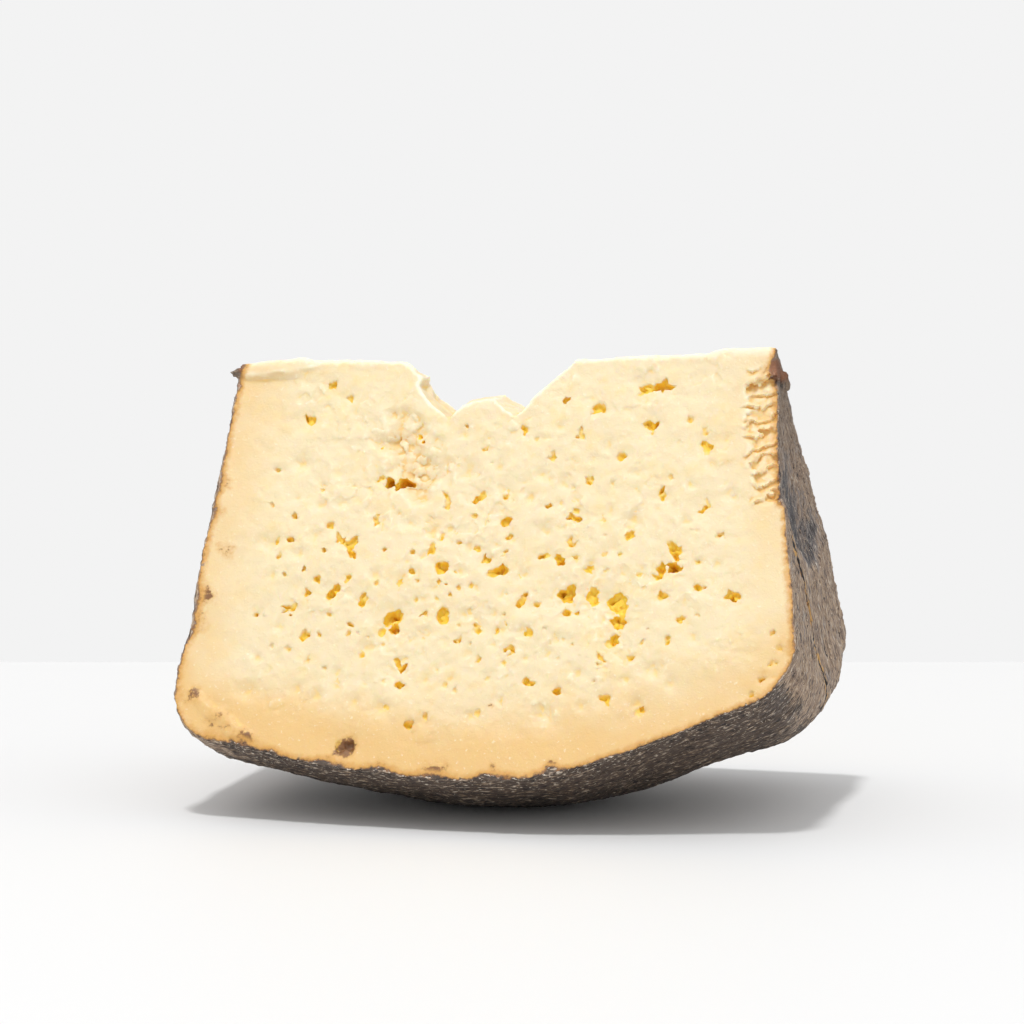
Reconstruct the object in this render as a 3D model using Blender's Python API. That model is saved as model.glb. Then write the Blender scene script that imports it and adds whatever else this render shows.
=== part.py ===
"""A wedge cut from a tall pecorino wheel, about a sixth of it, standing on its heel.

The wedge's top edge is the wheel's axis and lies along X. Two knife cuts meet there, one facing -Y
and one facing +Y. The wheel's flat faces are at the two ends of X, and its convex heel is below.
The origin is the middle of the small flat spot that the heel rests on. Metres, +Z up.

Most functions work in the wheel's own frame: x along its axis, radius away from it, and the angle
from straight down, positive towards -Y.
"""

import math
import random

import bmesh
import bpy
from mathutils import Matrix, Vector, noise

MM = 0.001
LEFT, RIGHT = -1, 1
FRONT, BACK = 1, -1

# The wheel: a convex heel with round corners, and flat faces that sink a little towards the axis
BELLY_RADIUS = 100.5 * MM
BELLY_X = 2 * MM
RIM_HALF_HEIGHT = 68.8 * MM
AXIS_HALF_HEIGHT = {LEFT: 62.6 * MM, RIGHT: 60.4 * MM}
HEEL_SLOPE = {LEFT: 0.36, RIGHT: 0.54}
HEEL_SOFTNESS = {LEFT: 66 * MM, RIGHT: 32 * MM}
CORNER_RADIUS = 9 * MM
SINK_POWER = 1.2
# The heel leans a little along the axis between the cuts, and falls less at the back cut's right
HEEL_LEAN = 0.02
FULLER_BEHIND = 0.27

# The cuts, and how the wedge stands
CUT_HALF_ANGLE = math.radians(28)
APEX_BLUNT = 1.2 * MM
# Height of the top edge over the axis, in millimetres, from place to place along it
APEX_LIFTS = (
    (-63, -0.4), (-38, 0.3), (-24, -0.3), (20, -0.3), (30, 0.3), (44, 0.5), (48, 1.7), (61, 1.6),
)
APEX_LIFT_REACH = 22 * MM
ROLL = math.radians(1.6)
FOOT_DEPTH = 0.4 * MM
FOOT_CLEAR = 12 * MM
FOOT_BOX = 60 * MM

# Grid of the body: steps along the axis, from the axis to the heel, and from cut to cut
STEPS_ALONG, STEPS_OUT, STEPS_ROUND = 26, 16, 8
CROWDING_AT_ENDS = 0.55

# Slow unevenness of the surfaces, as height and wavelength
RIND_WAVES = ((0.75 * MM, 17 * MM), (0.4 * MM, 8 * MM))
CUT_WAVES = ((0.45 * MM, 24 * MM), (0.2 * MM, 9 * MM))

# The fold of rind that crosses the right flat face, with a sunken field between it and the axis
FOLD_RADIUS = 47.5 * MM
FOLD_SLANT = 20 * MM
FOLD_HEIGHT = 1.3 * MM
FOLD_WIDTH = 5 * MM

# Lumps of the rind: place along the axis, distance from it, angle, height and half width
RIND_LUMPS = (
    (58 * MM, 88 * MM, math.radians(2), 1.0 * MM, 9 * MM),
    (69 * MM, 71 * MM, math.radians(-27), -0.9 * MM, 9 * MM),
    (66 * MM, 46 * MM, math.radians(-26), 1.0 * MM, 14 * MM),
    (66 * MM, 84 * MM, math.radians(12), 1.0 * MM, 8 * MM),
    (-62 * MM, 88 * MM, math.radians(6), -0.9 * MM, 9 * MM),
    (-30 * MM, 97 * MM, math.radians(-12), 0.9 * MM, 11 * MM),
)

# The crack in the right flat face, from the fold to the heel, as degrees and millimetres
CRACK_PATH = ((21, 41), (13, 45), (9, 50), (7.5, 56), (6.5, 62), (2, 67.5), (-1.5, 73), (-4, 81))
CRACK_WIDTH = 0.9 * MM
CRACK_DEPTH = 1.7 * MM

# The gap that broke out of the top edge, as millimetres along the axis and below it
NOTCH_OUTLINE = (
    (-30, -3), (-24.2, 1.7), (-19.3, 4.7), (-20.2, 6.8), (-17.8, 10.4), (-13.3, 13.9), (-9.9, 11.2),
    (-7.5, 10), (-2.1, 9.3), (0.2, 11.7), (3.1, 13.7), (5.9, 10.3), (12.5, 3.4), (19, -3),
)
NOTCH_SLICES = 7
NOTCH_REACH = 11 * MM
NOTCH_CRAGS = 0.9 * MM

# The torn place beside it: along the axis, from the axis, width, height, depth, lean in degrees
SCOOP_HOLLOWS = (
    (-19.5, 25, 13, 19, 2.6, -24), (-22.5, 30.6, 12, 4.2, 4.6, -4),
    (-16.2, 18.5, 6, 7.5, 2.4, -30), (-27, 22.6, 5, 3, 1.9, -35),
)

# The furrows dragged beside the right flat face
FURROWS = 9
FURROW_RADII = (6.5 * MM, 34 * MM)
FURROW_LENGTHS = (4 * MM, 6 * MM)
FURROW_HEIGHT = 1.9 * MM
FURROW_DEPTH = 1.3 * MM
FURROW_LEAN = 0.25
EDGE_STEP_RADIUS = 36.5 * MM
EDGE_STEP_SIZE = (3.4 * MM, 2.6 * MM, 1.7 * MM)

# What stands proud: a burr on the top left, a scab at the lower left corner, and a nub of rind
TOP_BURR_PLACE, TOP_BURR_LEAN = (-52 * MM, 3 * MM), math.radians(-3)
TOP_BURR_SIZE = (10.5 * MM, 1.1 * MM, 2.4 * MM)
SCAB_PLACE, SCAB_LEAN = (-57 * MM, 87 * MM), math.radians(28)
SCAB_SIZE = (7.5 * MM, 1.0 * MM, 2.8 * MM)
NUB_RADIUS, NUB_ANGLE = 7.5 * MM, math.radians(-12)
NUB_SIZE = (1.3 * MM, 1.5 * MM, 2.6 * MM)

# The larger eyes of the front cut, in millimetres: along the axis, from the axis, width, height
FRONT_EYES = (
    (-40.5, 6.5, 2.4, 3.2), (-45, 15.5, 3.2, 3.6), (-25, 22, 4.4, 2.4), (-40, 32, 2, 2.6),
    (-11, 35, 2.2, 4.6), (-4, 34.5, 3.2, 4.2), (2, 34, 2.2, 4), (2.5, 40, 3.4, 3.4),
    (-11, 51, 3.8, 3.8), (-34.5, 44, 2.4, 3.8), (-31.5, 46, 3, 5.4), (-35, 57, 3.8, 3.4),
    (-28, 59, 2.8, 3.8), (-20.5, 64, 4.6, 7), (-40.5, 66.5, 2.8, 3.8), (-39, 73, 2.2, 3.6),
    (-18.5, 74.5, 4, 4.2), (-28.3, 92.6, 4.6, 3.6), (-12.7, 87, 4.8, 4.2), (-9.5, 62, 3, 4.6),
    (18, 39, 4, 3.4), (13, 48.5, 5, 3.2), (17, 57, 5.4, 3.6), (23, 58, 4.4, 4.2),
    (28.5, 60, 5.4, 5.6), (29, 67.5, 3.6, 3.4), (2, 52, 4.2, 3.6), (40.5, 46, 4.2, 5.2),
    (40, 52, 5.4, 3.2), (21.3, 13.5, 2.8, 4.2), (33, 17.5, 4, 5), (36, 9, 6.4, 3.6),
    (37, 34, 3.6, 3.2), (46.5, 37, 3, 4.2), (45.6, 23, 3, 4.4), (54, 58, 4, 2.8),
)
SMALL_EYES = {FRONT: 18, BACK: 28}
SMALL_EYE_SIZE = (1.5 * MM, 2.8 * MM)
BACK_EYE_SIZE = (1.8 * MM, 4.6 * MM)
EYE_FIELD_X = 50 * MM
EYE_FIELD_RADII = (14 * MM, 84 * MM)
EYE_SPACING = 1.15
EYE_DEPTH = 0.75
EYE_SUNK = 0.1
EYE_LEAN = 0.5
DEPTH_NEAR_APEX = 0.3

# How lumpy the balls are that cut or add to the cheese, and the size from which they are finer
LUMPY, SMOOTHER = 0.4, 0.25
FINE_BALL_FROM = 3.9 * MM

PASTE_COLOUR = (0.90, 0.72, 0.42, 1.0)
PASTE_ROUGHNESS = 0.55


def clamp(value, low=0.0, high=1.0):
    return max(low, min(high, value))


def smooth_step(value):
    t = clamp(value)
    return t * t * (3 - 2 * t)


def waves(point, heights_and_lengths, seed):
    """The sum of a few slow noise waves at a point."""
    total = 0.0
    for number, (height, length) in enumerate(heights_and_lengths):
        shift = Vector((seed * 3.1, number * 7.7, seed * 1.9))
        total += height * noise.noise(point / length + shift)
    return total


# The section through the wheel

def into_corner(x):
    """0 where the round corner begins, and 1 where it meets the flat face."""
    return clamp((abs(x) - RIM_HALF_HEIGHT + CORNER_RADIUS) / CORNER_RADIUS)


def heel_radius(x, w=1.0):
    """Radius of the heel at x, from the back cut, w = -1, to the front one, w = 1: a soft ridge at
    the belly, and a round corner at each end."""
    side = LEFT if x < BELLY_X else RIGHT
    softness = HEEL_SOFTNESS[side]
    slope = HEEL_SLOPE[side]
    if side == RIGHT:
        slope *= 1 - FULLER_BEHIND * (1 - w) / 2
    away = abs(x - BELLY_X)
    fall = slope * (math.hypot(away, softness) - softness)
    fall += CORNER_RADIUS * (1 - math.sqrt(1 - into_corner(x) ** 2))
    return BELLY_RADIUS - fall


def half_height(side, radius):
    """Distance from the wheel's middle to its flat face on one side, at a radius."""
    corner = heel_radius(side * RIM_HALF_HEIGHT)
    gain = (radius / corner) ** SINK_POWER
    return AXIS_HALF_HEIGHT[side] + (RIM_HALF_HEIGHT - AXIS_HALF_HEIGHT[side]) * gain


def in_wheel(x, radius, angle):
    return Vector((x, -radius * math.sin(angle), -radius * math.cos(angle)))


def outward(angle):
    return Vector((0, -math.sin(angle), -math.cos(angle)))


def heel_normal(x, angle):
    """Out of the heel, and turning to the flat face's direction round the corner."""
    t = into_corner(x)
    return outward(angle) * math.sqrt(1 - t * t) + Vector((math.copysign(t, x), 0, 0))


def cut_normal(side):
    return Vector((0, -side * math.cos(CUT_HALF_ANGLE), math.sin(CUT_HALF_ANGLE)))


# The body of the wedge

def spread_to_ends(t):
    """Moves grid lines towards the ends, where the corners are round."""
    return (1 - CROWDING_AT_ENDS) * t + CROWDING_AT_ENDS * math.sin(t * math.pi / 2)


def fold_relief(radius, angle):
    """How far the right flat face is sunk at a point between the fold and the axis."""
    fold = FOLD_RADIUS - FOLD_SLANT * angle
    below = smooth_step((fold - radius) / FOLD_WIDTH)
    fade = smooth_step(radius / FOLD_RADIUS) * smooth_step((angle + CUT_HALF_ANGLE) / CUT_HALF_ANGLE)
    return FOLD_HEIGHT * below * fade


def apex_lift(x, radius):
    """How far a point near the top edge is raised."""
    places = [place * MM for place, _ in APEX_LIFTS]
    for number in range(len(places) - 1):
        if x <= places[number + 1]:
            break
    t = smooth_step((x - places[number]) / (places[number + 1] - places[number]))
    near, far = APEX_LIFTS[number][1], APEX_LIFTS[number + 1][1]
    return (near + (far - near) * t) * MM * smooth_step(1 - radius / APEX_LIFT_REACH)


def lumps(point):
    total = 0.0
    for x, radius, angle, height, width in RIND_LUMPS:
        away = (point - in_wheel(x, radius, angle)).length / width
        total += height * math.exp(-away * away)
    return total


def away_from_foot(point):
    """Fades the unevenness out where the wedge stands, from the foot's middle to a little beyond."""
    away = (point - in_wheel(BELLY_X, BELLY_RADIUS, 0)).length
    return smooth_step((away - FOOT_CLEAR) / FOOT_CLEAR)


def wedge_point(u, v, w):
    """Maps a point of the cube from -1 to 1 onto the wedge: u runs along the axis, v from the axis
    out to the heel and w from the back cut to the front one."""
    along = spread_to_ends(u)
    out = (v + 1) / 2
    side = LEFT if u < 0 else RIGHT
    edge_radius = APEX_BLUNT + out * (heel_radius(side * RIM_HALF_HEIGHT, w) - APEX_BLUNT)
    x = along * half_height(side, edge_radius)
    heel = heel_radius(along * RIM_HALF_HEIGHT, w) + HEEL_LEAN * x * (1 - w * w)
    radius = APEX_BLUNT + out * (heel - APEX_BLUNT)
    angle = w * CUT_HALF_ANGLE
    point = in_wheel(x, radius, angle)
    point.z += apex_lift(x, radius)
    swell = waves(point, RIND_WAVES, seed=2) * away_from_foot(point) + lumps(point)
    moved = point.copy()
    if v == 1 and abs(u) < 1:
        moved += heel_normal(along * RIM_HALF_HEIGHT, angle) * swell
    if abs(u) == 1:
        moved.x += side * swell * smooth_step(radius / FOLD_RADIUS)
    if u == 1:
        moved.x -= fold_relief(radius, angle)
    if abs(w) == 1 and v > -1:
        face = FRONT if w > 0 else BACK
        moved += cut_normal(face) * waves(point, CUT_WAVES, seed=5 + face)
    return moved


def subdivided_cube(cuts):
    """A cube from -1 to 1 whose faces are grids, with a number of steps along each axis."""
    mesh = bmesh.new()
    bmesh.ops.create_cube(mesh, size=2)
    for axis, steps in enumerate(cuts):
        parallel = [
            edge for edge in mesh.edges
            if abs(edge.verts[0].co[axis] - edge.verts[1].co[axis]) > 1
        ]
        bmesh.ops.subdivide_edges(mesh, edges=parallel, cuts=steps - 1, use_grid_fill=True)
    return mesh


def make_body(parent, collection):
    mesh = subdivided_cube((STEPS_ALONG, STEPS_ROUND, STEPS_OUT))
    for vertex in mesh.verts:
        u, w, v = (round(value, 5) for value in vertex.co)
        vertex.co = wedge_point(u, -v, -w)
    bmesh.ops.recalc_face_normals(mesh, faces=mesh.faces)
    bmesh.ops.triangulate(mesh, faces=mesh.faces)
    return add_object("pecorino_wedge", mesh, parent, collection)


def add_object(name, mesh, parent, collection):
    data = bpy.data.meshes.new(name)
    mesh.to_mesh(data)
    mesh.free()
    made = bpy.data.objects.new(name, data)
    made.parent = parent
    collection.objects.link(made)
    return made


# Rough balls, which cut the eyes and the torn hollows and add the burrs

def rough_ball(name, frame, size, parent, collection, finer=2, lumpy=LUMPY):
    """A ball of three half sizes with a lumpy surface, placed by a frame in the wheel."""
    mesh = bmesh.new()
    bmesh.ops.create_icosphere(mesh, subdivisions=finer, radius=1)
    for vertex in mesh.verts:
        lump = noise.noise(vertex.co * 1.7 + frame.translation / (1.7 * MM))
        vertex.co *= 1 + lumpy * lump
    shape = frame @ Matrix.Diagonal((*size, 1))
    bmesh.ops.transform(mesh, matrix=shape, verts=mesh.verts)
    return add_object(name, mesh, parent, collection)


def cut_frame(side, x, radius, depth, turn=0.0):
    """A frame on a cut face: X along the axis, Y into the cheese, Z towards the axis."""
    inwards = -cut_normal(side)
    up = -outward(side * CUT_HALF_ANGLE)
    across = inwards.cross(up)
    place = in_wheel(x, radius, side * CUT_HALF_ANGLE) + inwards * depth
    columns = Matrix((across, inwards, up)).transposed().to_4x4()
    return Matrix.Translation(place) @ columns @ Matrix.Rotation(turn, 4, "Y")


def end_frame(side, radius, angle):
    """A frame on a flat face of the wheel: X round it, Y into the cheese, Z towards the axis."""
    inwards = Vector((-side, 0, 0))
    up = -outward(angle)
    place = in_wheel(side * half_height(side, radius), radius, angle)
    columns = Matrix((inwards.cross(up), inwards, up)).transposed().to_4x4()
    return Matrix.Translation(place) @ columns


def cut_eye(name, side, eye, parent, cutters, draw):
    """One eye: a hollow nearly as deep as it is wide, and shallower near the thin top edge."""
    x, radius, width, height = eye
    depth = min(EYE_DEPTH * width, DEPTH_NEAR_APEX * radius)
    lean = draw.uniform(-EYE_LEAN, EYE_LEAN)
    frame = cut_frame(side, x, radius, EYE_SUNK * width, lean)
    size = (width / 2, depth, height / 2)
    finer = 2 if max(width, height) > FINE_BALL_FROM else 1
    rough_ball(name, frame, size, parent, cutters, finer)


def in_notch(x, radius, margin):
    """Whether a place on a cut lies in the gap of the top edge."""
    left, right = NOTCH_OUTLINE[0][0] * MM, NOTCH_OUTLINE[-1][0] * MM
    deepest = max(down for _, down in NOTCH_OUTLINE) * MM
    return left - margin < x < right + margin and radius < deepest + margin


def scatter_eyes(count, sizes, taken, draw):
    """Draws small eyes, thickest in the middle of the paste, clear of each other and of the rind."""
    found = []
    while len(found) < count:
        x = draw.gauss(0, 0.55) * EYE_FIELD_X
        radius = draw.triangular(*EYE_FIELD_RADII)
        width = draw.uniform(*sizes)
        height = width * draw.uniform(0.7, 1.5)
        if abs(x) > EYE_FIELD_X or in_notch(x, radius, margin=2 * MM):
            continue
        reach = max(width, height)
        crowded = any(
            math.hypot(x - other[0], radius - other[1])
            < EYE_SPACING * (reach + max(other[2:])) / 2
            for other in taken + found
        )
        if not crowded:
            found.append((x, radius, width, height))
    return found


def cut_eyes(parent, cutters):
    draw = random.Random(11)
    large = [tuple(value * MM for value in eye) for eye in FRONT_EYES]
    small = scatter_eyes(SMALL_EYES[FRONT], SMALL_EYE_SIZE, large, draw)
    behind = scatter_eyes(SMALL_EYES[BACK], BACK_EYE_SIZE, [], draw)
    for number, eye in enumerate(large + small):
        cut_eye(f"front_eye_{number}", FRONT, eye, parent, cutters, draw)
    for number, eye in enumerate(behind):
        cut_eye(f"back_eye_{number}", BACK, eye, parent, cutters, draw)


# The gap in the top edge

def bridge(mesh, rings):
    """Joins rings of corners into one closed shape."""
    for ring in (rings[0], rings[-1]):
        mesh.faces.new(ring)
    count = len(rings[0])
    for near, far in zip(rings, rings[1:]):
        for here in range(count):
            after = (here + 1) % count
            mesh.faces.new((near[here], near[after], far[after], far[here]))
    bmesh.ops.triangulate(mesh, faces=mesh.faces)
    bmesh.ops.recalc_face_normals(mesh, faces=mesh.faces)


def cut_notch(parent, cutters):
    """An outline drawn along the axis and pulled through both cuts in rough slices."""
    draw = random.Random(4)
    mesh = bmesh.new()
    rings = []
    for step in range(NOTCH_SLICES):
        y = NOTCH_REACH * (2 * step / (NOTCH_SLICES - 1) - 1)
        ring = []
        for x, down in NOTCH_OUTLINE:
            rough = NOTCH_CRAGS if down > 0 else 0
            moved_x = x * MM + draw.uniform(-rough, rough)
            moved_z = -down * MM + draw.uniform(-rough, rough)
            ring.append(mesh.verts.new((moved_x, y, moved_z)))
        rings.append(ring)
    bridge(mesh, rings)
    add_object("notch", mesh, parent, cutters)


# Torn places of the front cut

def cut_scoop(parent, cutters):
    """A place torn out beside the gap, from overlapping hollows: the lowest one is the deepest."""
    for number, (x, radius, width, height, depth, lean) in enumerate(SCOOP_HOLLOWS):
        frame = cut_frame(FRONT, x * MM, radius * MM, 0, turn=math.radians(lean))
        size = (width / 2 * MM, depth * MM, height / 2 * MM)
        rough_ball(f"scoop_{number}", frame, size, parent, cutters, 3 if number == 0 else 2)


def cut_torn_edge(parent, cutters):
    """Short furrows where the knife dragged the hard paste beside the right flat face."""
    draw = random.Random(21)
    first, last = FURROW_RADII
    for number in range(FURROWS):
        radius = first + (last - first) * number / (FURROWS - 1)
        length = draw.uniform(*FURROW_LENGTHS)
        edge = half_height(RIGHT, radius)
        depth = min(FURROW_DEPTH, DEPTH_NEAR_APEX * radius)
        turn = draw.uniform(-FURROW_LEAN, FURROW_LEAN)
        frame = cut_frame(FRONT, edge - length * 0.75, radius, 0, turn)
        size = (length, depth, FURROW_HEIGHT)
        rough_ball(f"furrow_{number}", frame, size, parent, cutters)
    edge = half_height(RIGHT, EDGE_STEP_RADIUS)
    step = cut_frame(FRONT, edge, EDGE_STEP_RADIUS, 0, turn=0.6)
    rough_ball("edge_step", step, EDGE_STEP_SIZE, parent, cutters)


def cut_crack(parent, cutters):
    """The crack in the right flat face: a V-shaped groove that follows the path and closes at its
    upper end."""
    mesh = bmesh.new()
    rings = []
    for number, (degrees, radius) in enumerate(CRACK_PATH):
        frame = end_frame(RIGHT, radius * MM, math.radians(degrees))
        opening = CRACK_WIDTH * (0.3 if number == 0 else 1)
        corners = (
            (-opening, -CRACK_DEPTH), (opening, -CRACK_DEPTH), (opening * 0.6, 0),
            (0, CRACK_DEPTH), (-opening * 0.6, 0),
        )
        rings.append([mesh.verts.new(frame @ Vector((x, y, 0))) for x, y in corners])
    bridge(mesh, rings)
    add_object("crack", mesh, parent, cutters)


def add_flakes(parent, flakes):
    """Burrs and scabs that stand proud: on the top left, by the lower left corner, on the rind."""
    top = cut_frame(FRONT, *TOP_BURR_PLACE, 0, TOP_BURR_LEAN)
    rough_ball("top_burr", top, TOP_BURR_SIZE, parent, flakes, 3, SMOOTHER)
    low = cut_frame(FRONT, *SCAB_PLACE, 0, SCAB_LEAN)
    rough_ball("corner_scab", low, SCAB_SIZE, parent, flakes, 3, SMOOTHER)
    nub = end_frame(RIGHT, NUB_RADIUS, NUB_ANGLE)
    rough_ball("rind_nub", nub, NUB_SIZE, parent, flakes)


# Standing the wedge on its heel

def stand(body, axis_empty):
    """Rolls the wheel's frame and sets it down so that the foot's cut is at z = 0."""
    roll = Matrix.Rotation(-ROLL, 4, "Y")
    points = [roll @ vertex.co for vertex in body.data.vertices]
    lowest = min(points, key=lambda point: point.z)
    foot = [point for point in points if point.z < lowest.z + 2 * FOOT_DEPTH]
    middle = sum((point.x for point in foot), 0.0) / len(foot)
    axis_empty.matrix_world = Matrix.Translation((-middle, 0, -lowest.z - FOOT_DEPTH)) @ roll


def cut_foot(cutters):
    mesh = bmesh.new()
    bmesh.ops.create_cube(mesh, size=FOOT_BOX)
    bmesh.ops.translate(mesh, verts=mesh.verts, vec=(0, 0, -FOOT_BOX / 2))
    add_object("foot_cut", mesh, None, cutters)


def boolean(body, name, operation, collection):
    modifier = body.modifiers.new(name, "BOOLEAN")
    modifier.operand_type = "COLLECTION"
    modifier.collection = collection
    modifier.operation = operation
    modifier.solver = "EXACT"


def cheese_material():
    material = bpy.data.materials.new("pecorino")
    material.use_nodes = True
    shader = material.node_tree.nodes["Principled BSDF"]
    shader.inputs["Base Color"].default_value = PASTE_COLOUR
    shader.inputs["Roughness"].default_value = PASTE_ROUGHNESS
    shader.inputs["Metallic"].default_value = 0.0
    return material


def new_collection(name):
    made = bpy.data.collections.new(name)
    bpy.context.scene.collection.children.link(made)
    return made


def main():
    for old in list(bpy.data.objects):
        bpy.data.objects.remove(old)
    parts = new_collection("pecorino_wedge")
    flakes = new_collection("flakes")
    cutters = new_collection("cutters")
    axis_empty = bpy.data.objects.new("wheel_axis", None)
    parts.objects.link(axis_empty)
    body = make_body(axis_empty, parts)
    body.data.materials.append(cheese_material())
    add_flakes(axis_empty, flakes)
    cut_eyes(axis_empty, cutters)
    cut_notch(axis_empty, cutters)
    cut_scoop(axis_empty, cutters)
    cut_torn_edge(axis_empty, cutters)
    cut_crack(axis_empty, cutters)
    cut_foot(cutters)
    stand(body, axis_empty)
    boolean(body, "burrs", "UNION", flakes)
    boolean(body, "hollows", "DIFFERENCE", cutters)
    for helper in list(flakes.objects) + list(cutters.objects):
        helper.hide_render = True
        helper.display_type = "WIRE"


main()
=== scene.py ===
"""The looks of a wedge of pecorino: cream paste with golden eyes, a torn top edge and a dark wrinkled rind.

The wedge is cut from a tall wheel and stands on its heel. Its top edge is the wheel's axis, along X.
The fine form is built from the same sizes as the solid. Then its tears are cut, its surface is
roughened, its eyes are opened, and it takes the solid's place. Metres, +Z up, with the origin under
the heel.

Most functions work in the wheel's own frame: x along its axis, radius away from it, and the angle
from straight down, positive towards -Y, where the front cut faces.
"""

import math
import random
from itertools import product

import bpy
import numpy as np
from mathutils import Matrix, Vector, noise


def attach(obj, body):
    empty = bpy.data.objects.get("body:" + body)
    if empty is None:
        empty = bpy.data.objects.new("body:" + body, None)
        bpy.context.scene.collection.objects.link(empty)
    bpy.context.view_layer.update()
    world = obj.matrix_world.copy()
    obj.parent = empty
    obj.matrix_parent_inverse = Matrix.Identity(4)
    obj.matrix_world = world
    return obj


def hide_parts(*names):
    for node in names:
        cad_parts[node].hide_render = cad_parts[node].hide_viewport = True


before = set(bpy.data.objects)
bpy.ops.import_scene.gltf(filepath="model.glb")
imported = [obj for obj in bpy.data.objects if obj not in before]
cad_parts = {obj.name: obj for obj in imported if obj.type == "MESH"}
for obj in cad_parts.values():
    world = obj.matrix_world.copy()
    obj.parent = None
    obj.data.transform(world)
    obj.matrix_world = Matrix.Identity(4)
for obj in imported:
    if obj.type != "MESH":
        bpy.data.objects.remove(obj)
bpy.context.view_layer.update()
bpy.ops.object.select_all(action="DESELECT")

MM = 0.001


# The camera: a long lens a little above the table, turned to the right of the front cut.
# Where the middle of the wedge falls in the picture sets how far above it the camera aims.

IMAGE_SIDE = 1024
SENSOR_WIDTH = 36
CAMERA_DISTANCE = 0.9
PIXEL_AT_WEDGE = 0.224 * MM
CAMERA_TURN, CAMERA_LIFT = math.radians(13.6), math.radians(6.8)
WEDGE_MIDDLE = Vector((-0.5 * MM, 0, 50 * MM))
WEDGE_MIDDLE_PIXEL = (510, 577)


def add_camera():
    back = Vector((
        math.sin(CAMERA_TURN) * math.cos(CAMERA_LIFT),
        -math.cos(CAMERA_TURN) * math.cos(CAMERA_LIFT),
        math.sin(CAMERA_LIFT),
    ))
    right = Vector((math.cos(CAMERA_TURN), math.sin(CAMERA_TURN), 0))
    up = back.cross(right)
    place = WEDGE_MIDDLE + back * CAMERA_DISTANCE
    aside = (IMAGE_SIDE / 2 - WEDGE_MIDDLE_PIXEL[0]) * PIXEL_AT_WEDGE
    above = (WEDGE_MIDDLE_PIXEL[1] - IMAGE_SIDE / 2) * PIXEL_AT_WEDGE
    aim = WEDGE_MIDDLE + right * aside + up * above
    bpy.ops.object.camera_add(location=place)
    camera = bpy.context.object
    camera.name = "camera"
    camera.rotation_euler = (aim - place).to_track_quat("-Z", "Y").to_euler()
    camera.data.sensor_width = SENSOR_WIDTH
    camera.data.lens = SENSOR_WIDTH * CAMERA_DISTANCE / PIXEL_AT_WEDGE / IMAGE_SIDE
    bpy.context.scene.camera = camera


add_camera()


# The table and the light: a white board whose far edge ends a hand's width behind the wedge, a
# bright wall well behind it, and one lamp above that draws a firm shadow under the heel.

TABLE_WIDTH, TABLE_DEPTH, TABLE_THICKNESS = 3.2, 2.4, 0.03
TABLE_BEHIND = 0.219
TABLE_WHITE = (0.77, 0.77, 0.77, 1)
WALL_BEHIND, WALL_WIDTH, WALL_HEIGHT, WALL_MIDDLE = 1.3, 4.4, 3.2, 0.9
WALL_GREY = (0.896, 0.896, 0.896, 1)
ROOM_STRENGTH = 0.83
LAMP_PLACE, LAMP_SIZE, LAMP_POWER = (-0.12, -0.72, 2.5), (0.3, 0.3), 32


def plain_material(name, colour, roughness):
    material = bpy.data.materials.new(name)
    material.use_nodes = True
    shader = material.node_tree.nodes["Principled BSDF"]
    shader.inputs["Base Color"].default_value = colour
    shader.inputs["Roughness"].default_value = roughness
    return material


def add_board(name, middle, size, material):
    """A stage piece, square to the camera's line of sight over the table."""
    turn = Matrix.Rotation(CAMERA_TURN, 4, "Z")
    bpy.ops.mesh.primitive_cube_add(size=1, location=turn @ Vector(middle), rotation=(0, 0, CAMERA_TURN))
    board = bpy.context.object
    board.name = name
    board.scale = size
    board.data.materials.append(material)
    return board


def add_table():
    middle = (0, TABLE_BEHIND - TABLE_DEPTH / 2, -TABLE_THICKNESS / 2)
    white = plain_material("white board", TABLE_WHITE, 0.6)
    add_board("table", middle, (TABLE_WIDTH, TABLE_DEPTH, TABLE_THICKNESS), white)


def add_wall():
    glowing = plain_material("bright wall", (0, 0, 0, 1), 1.0)
    shader = glowing.node_tree.nodes["Principled BSDF"]
    shader.inputs["Specular IOR Level"].default_value = 0
    shader.inputs["Emission Color"].default_value = WALL_GREY
    shader.inputs["Emission Strength"].default_value = 1
    size = (WALL_WIDTH, TABLE_THICKNESS, WALL_HEIGHT)
    wall = add_board("wall", (0, WALL_BEHIND, WALL_MIDDLE), size, glowing)
    wall.visible_diffuse = wall.visible_glossy = wall.visible_shadow = False


def add_light():
    world = bpy.data.worlds.new("room")
    world.use_nodes = True
    sky = world.node_tree.nodes["Background"]
    sky.inputs["Color"].default_value = (1, 1, 1, 1)
    sky.inputs["Strength"].default_value = ROOM_STRENGTH
    bpy.context.scene.world = world
    bpy.ops.object.light_add(type="AREA", location=LAMP_PLACE)
    lamp = bpy.context.object
    lamp.name = "lamp"
    lamp.rotation_euler = (WEDGE_MIDDLE - Vector(LAMP_PLACE)).to_track_quat("-Z", "Y").to_euler()
    lamp.data.energy = LAMP_POWER
    lamp.data.shape = "RECTANGLE"
    lamp.data.size, lamp.data.size_y = LAMP_SIZE
    bpy.context.scene.view_settings.view_transform = "Standard"


add_table()
add_wall()
add_light()


# The body: a sixth of a tall wheel of aged sheep's cheese, pressed in a mould, so that its heel
# is convex and its corners are round. Its flat faces have sunk a little towards the axis.

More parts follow.
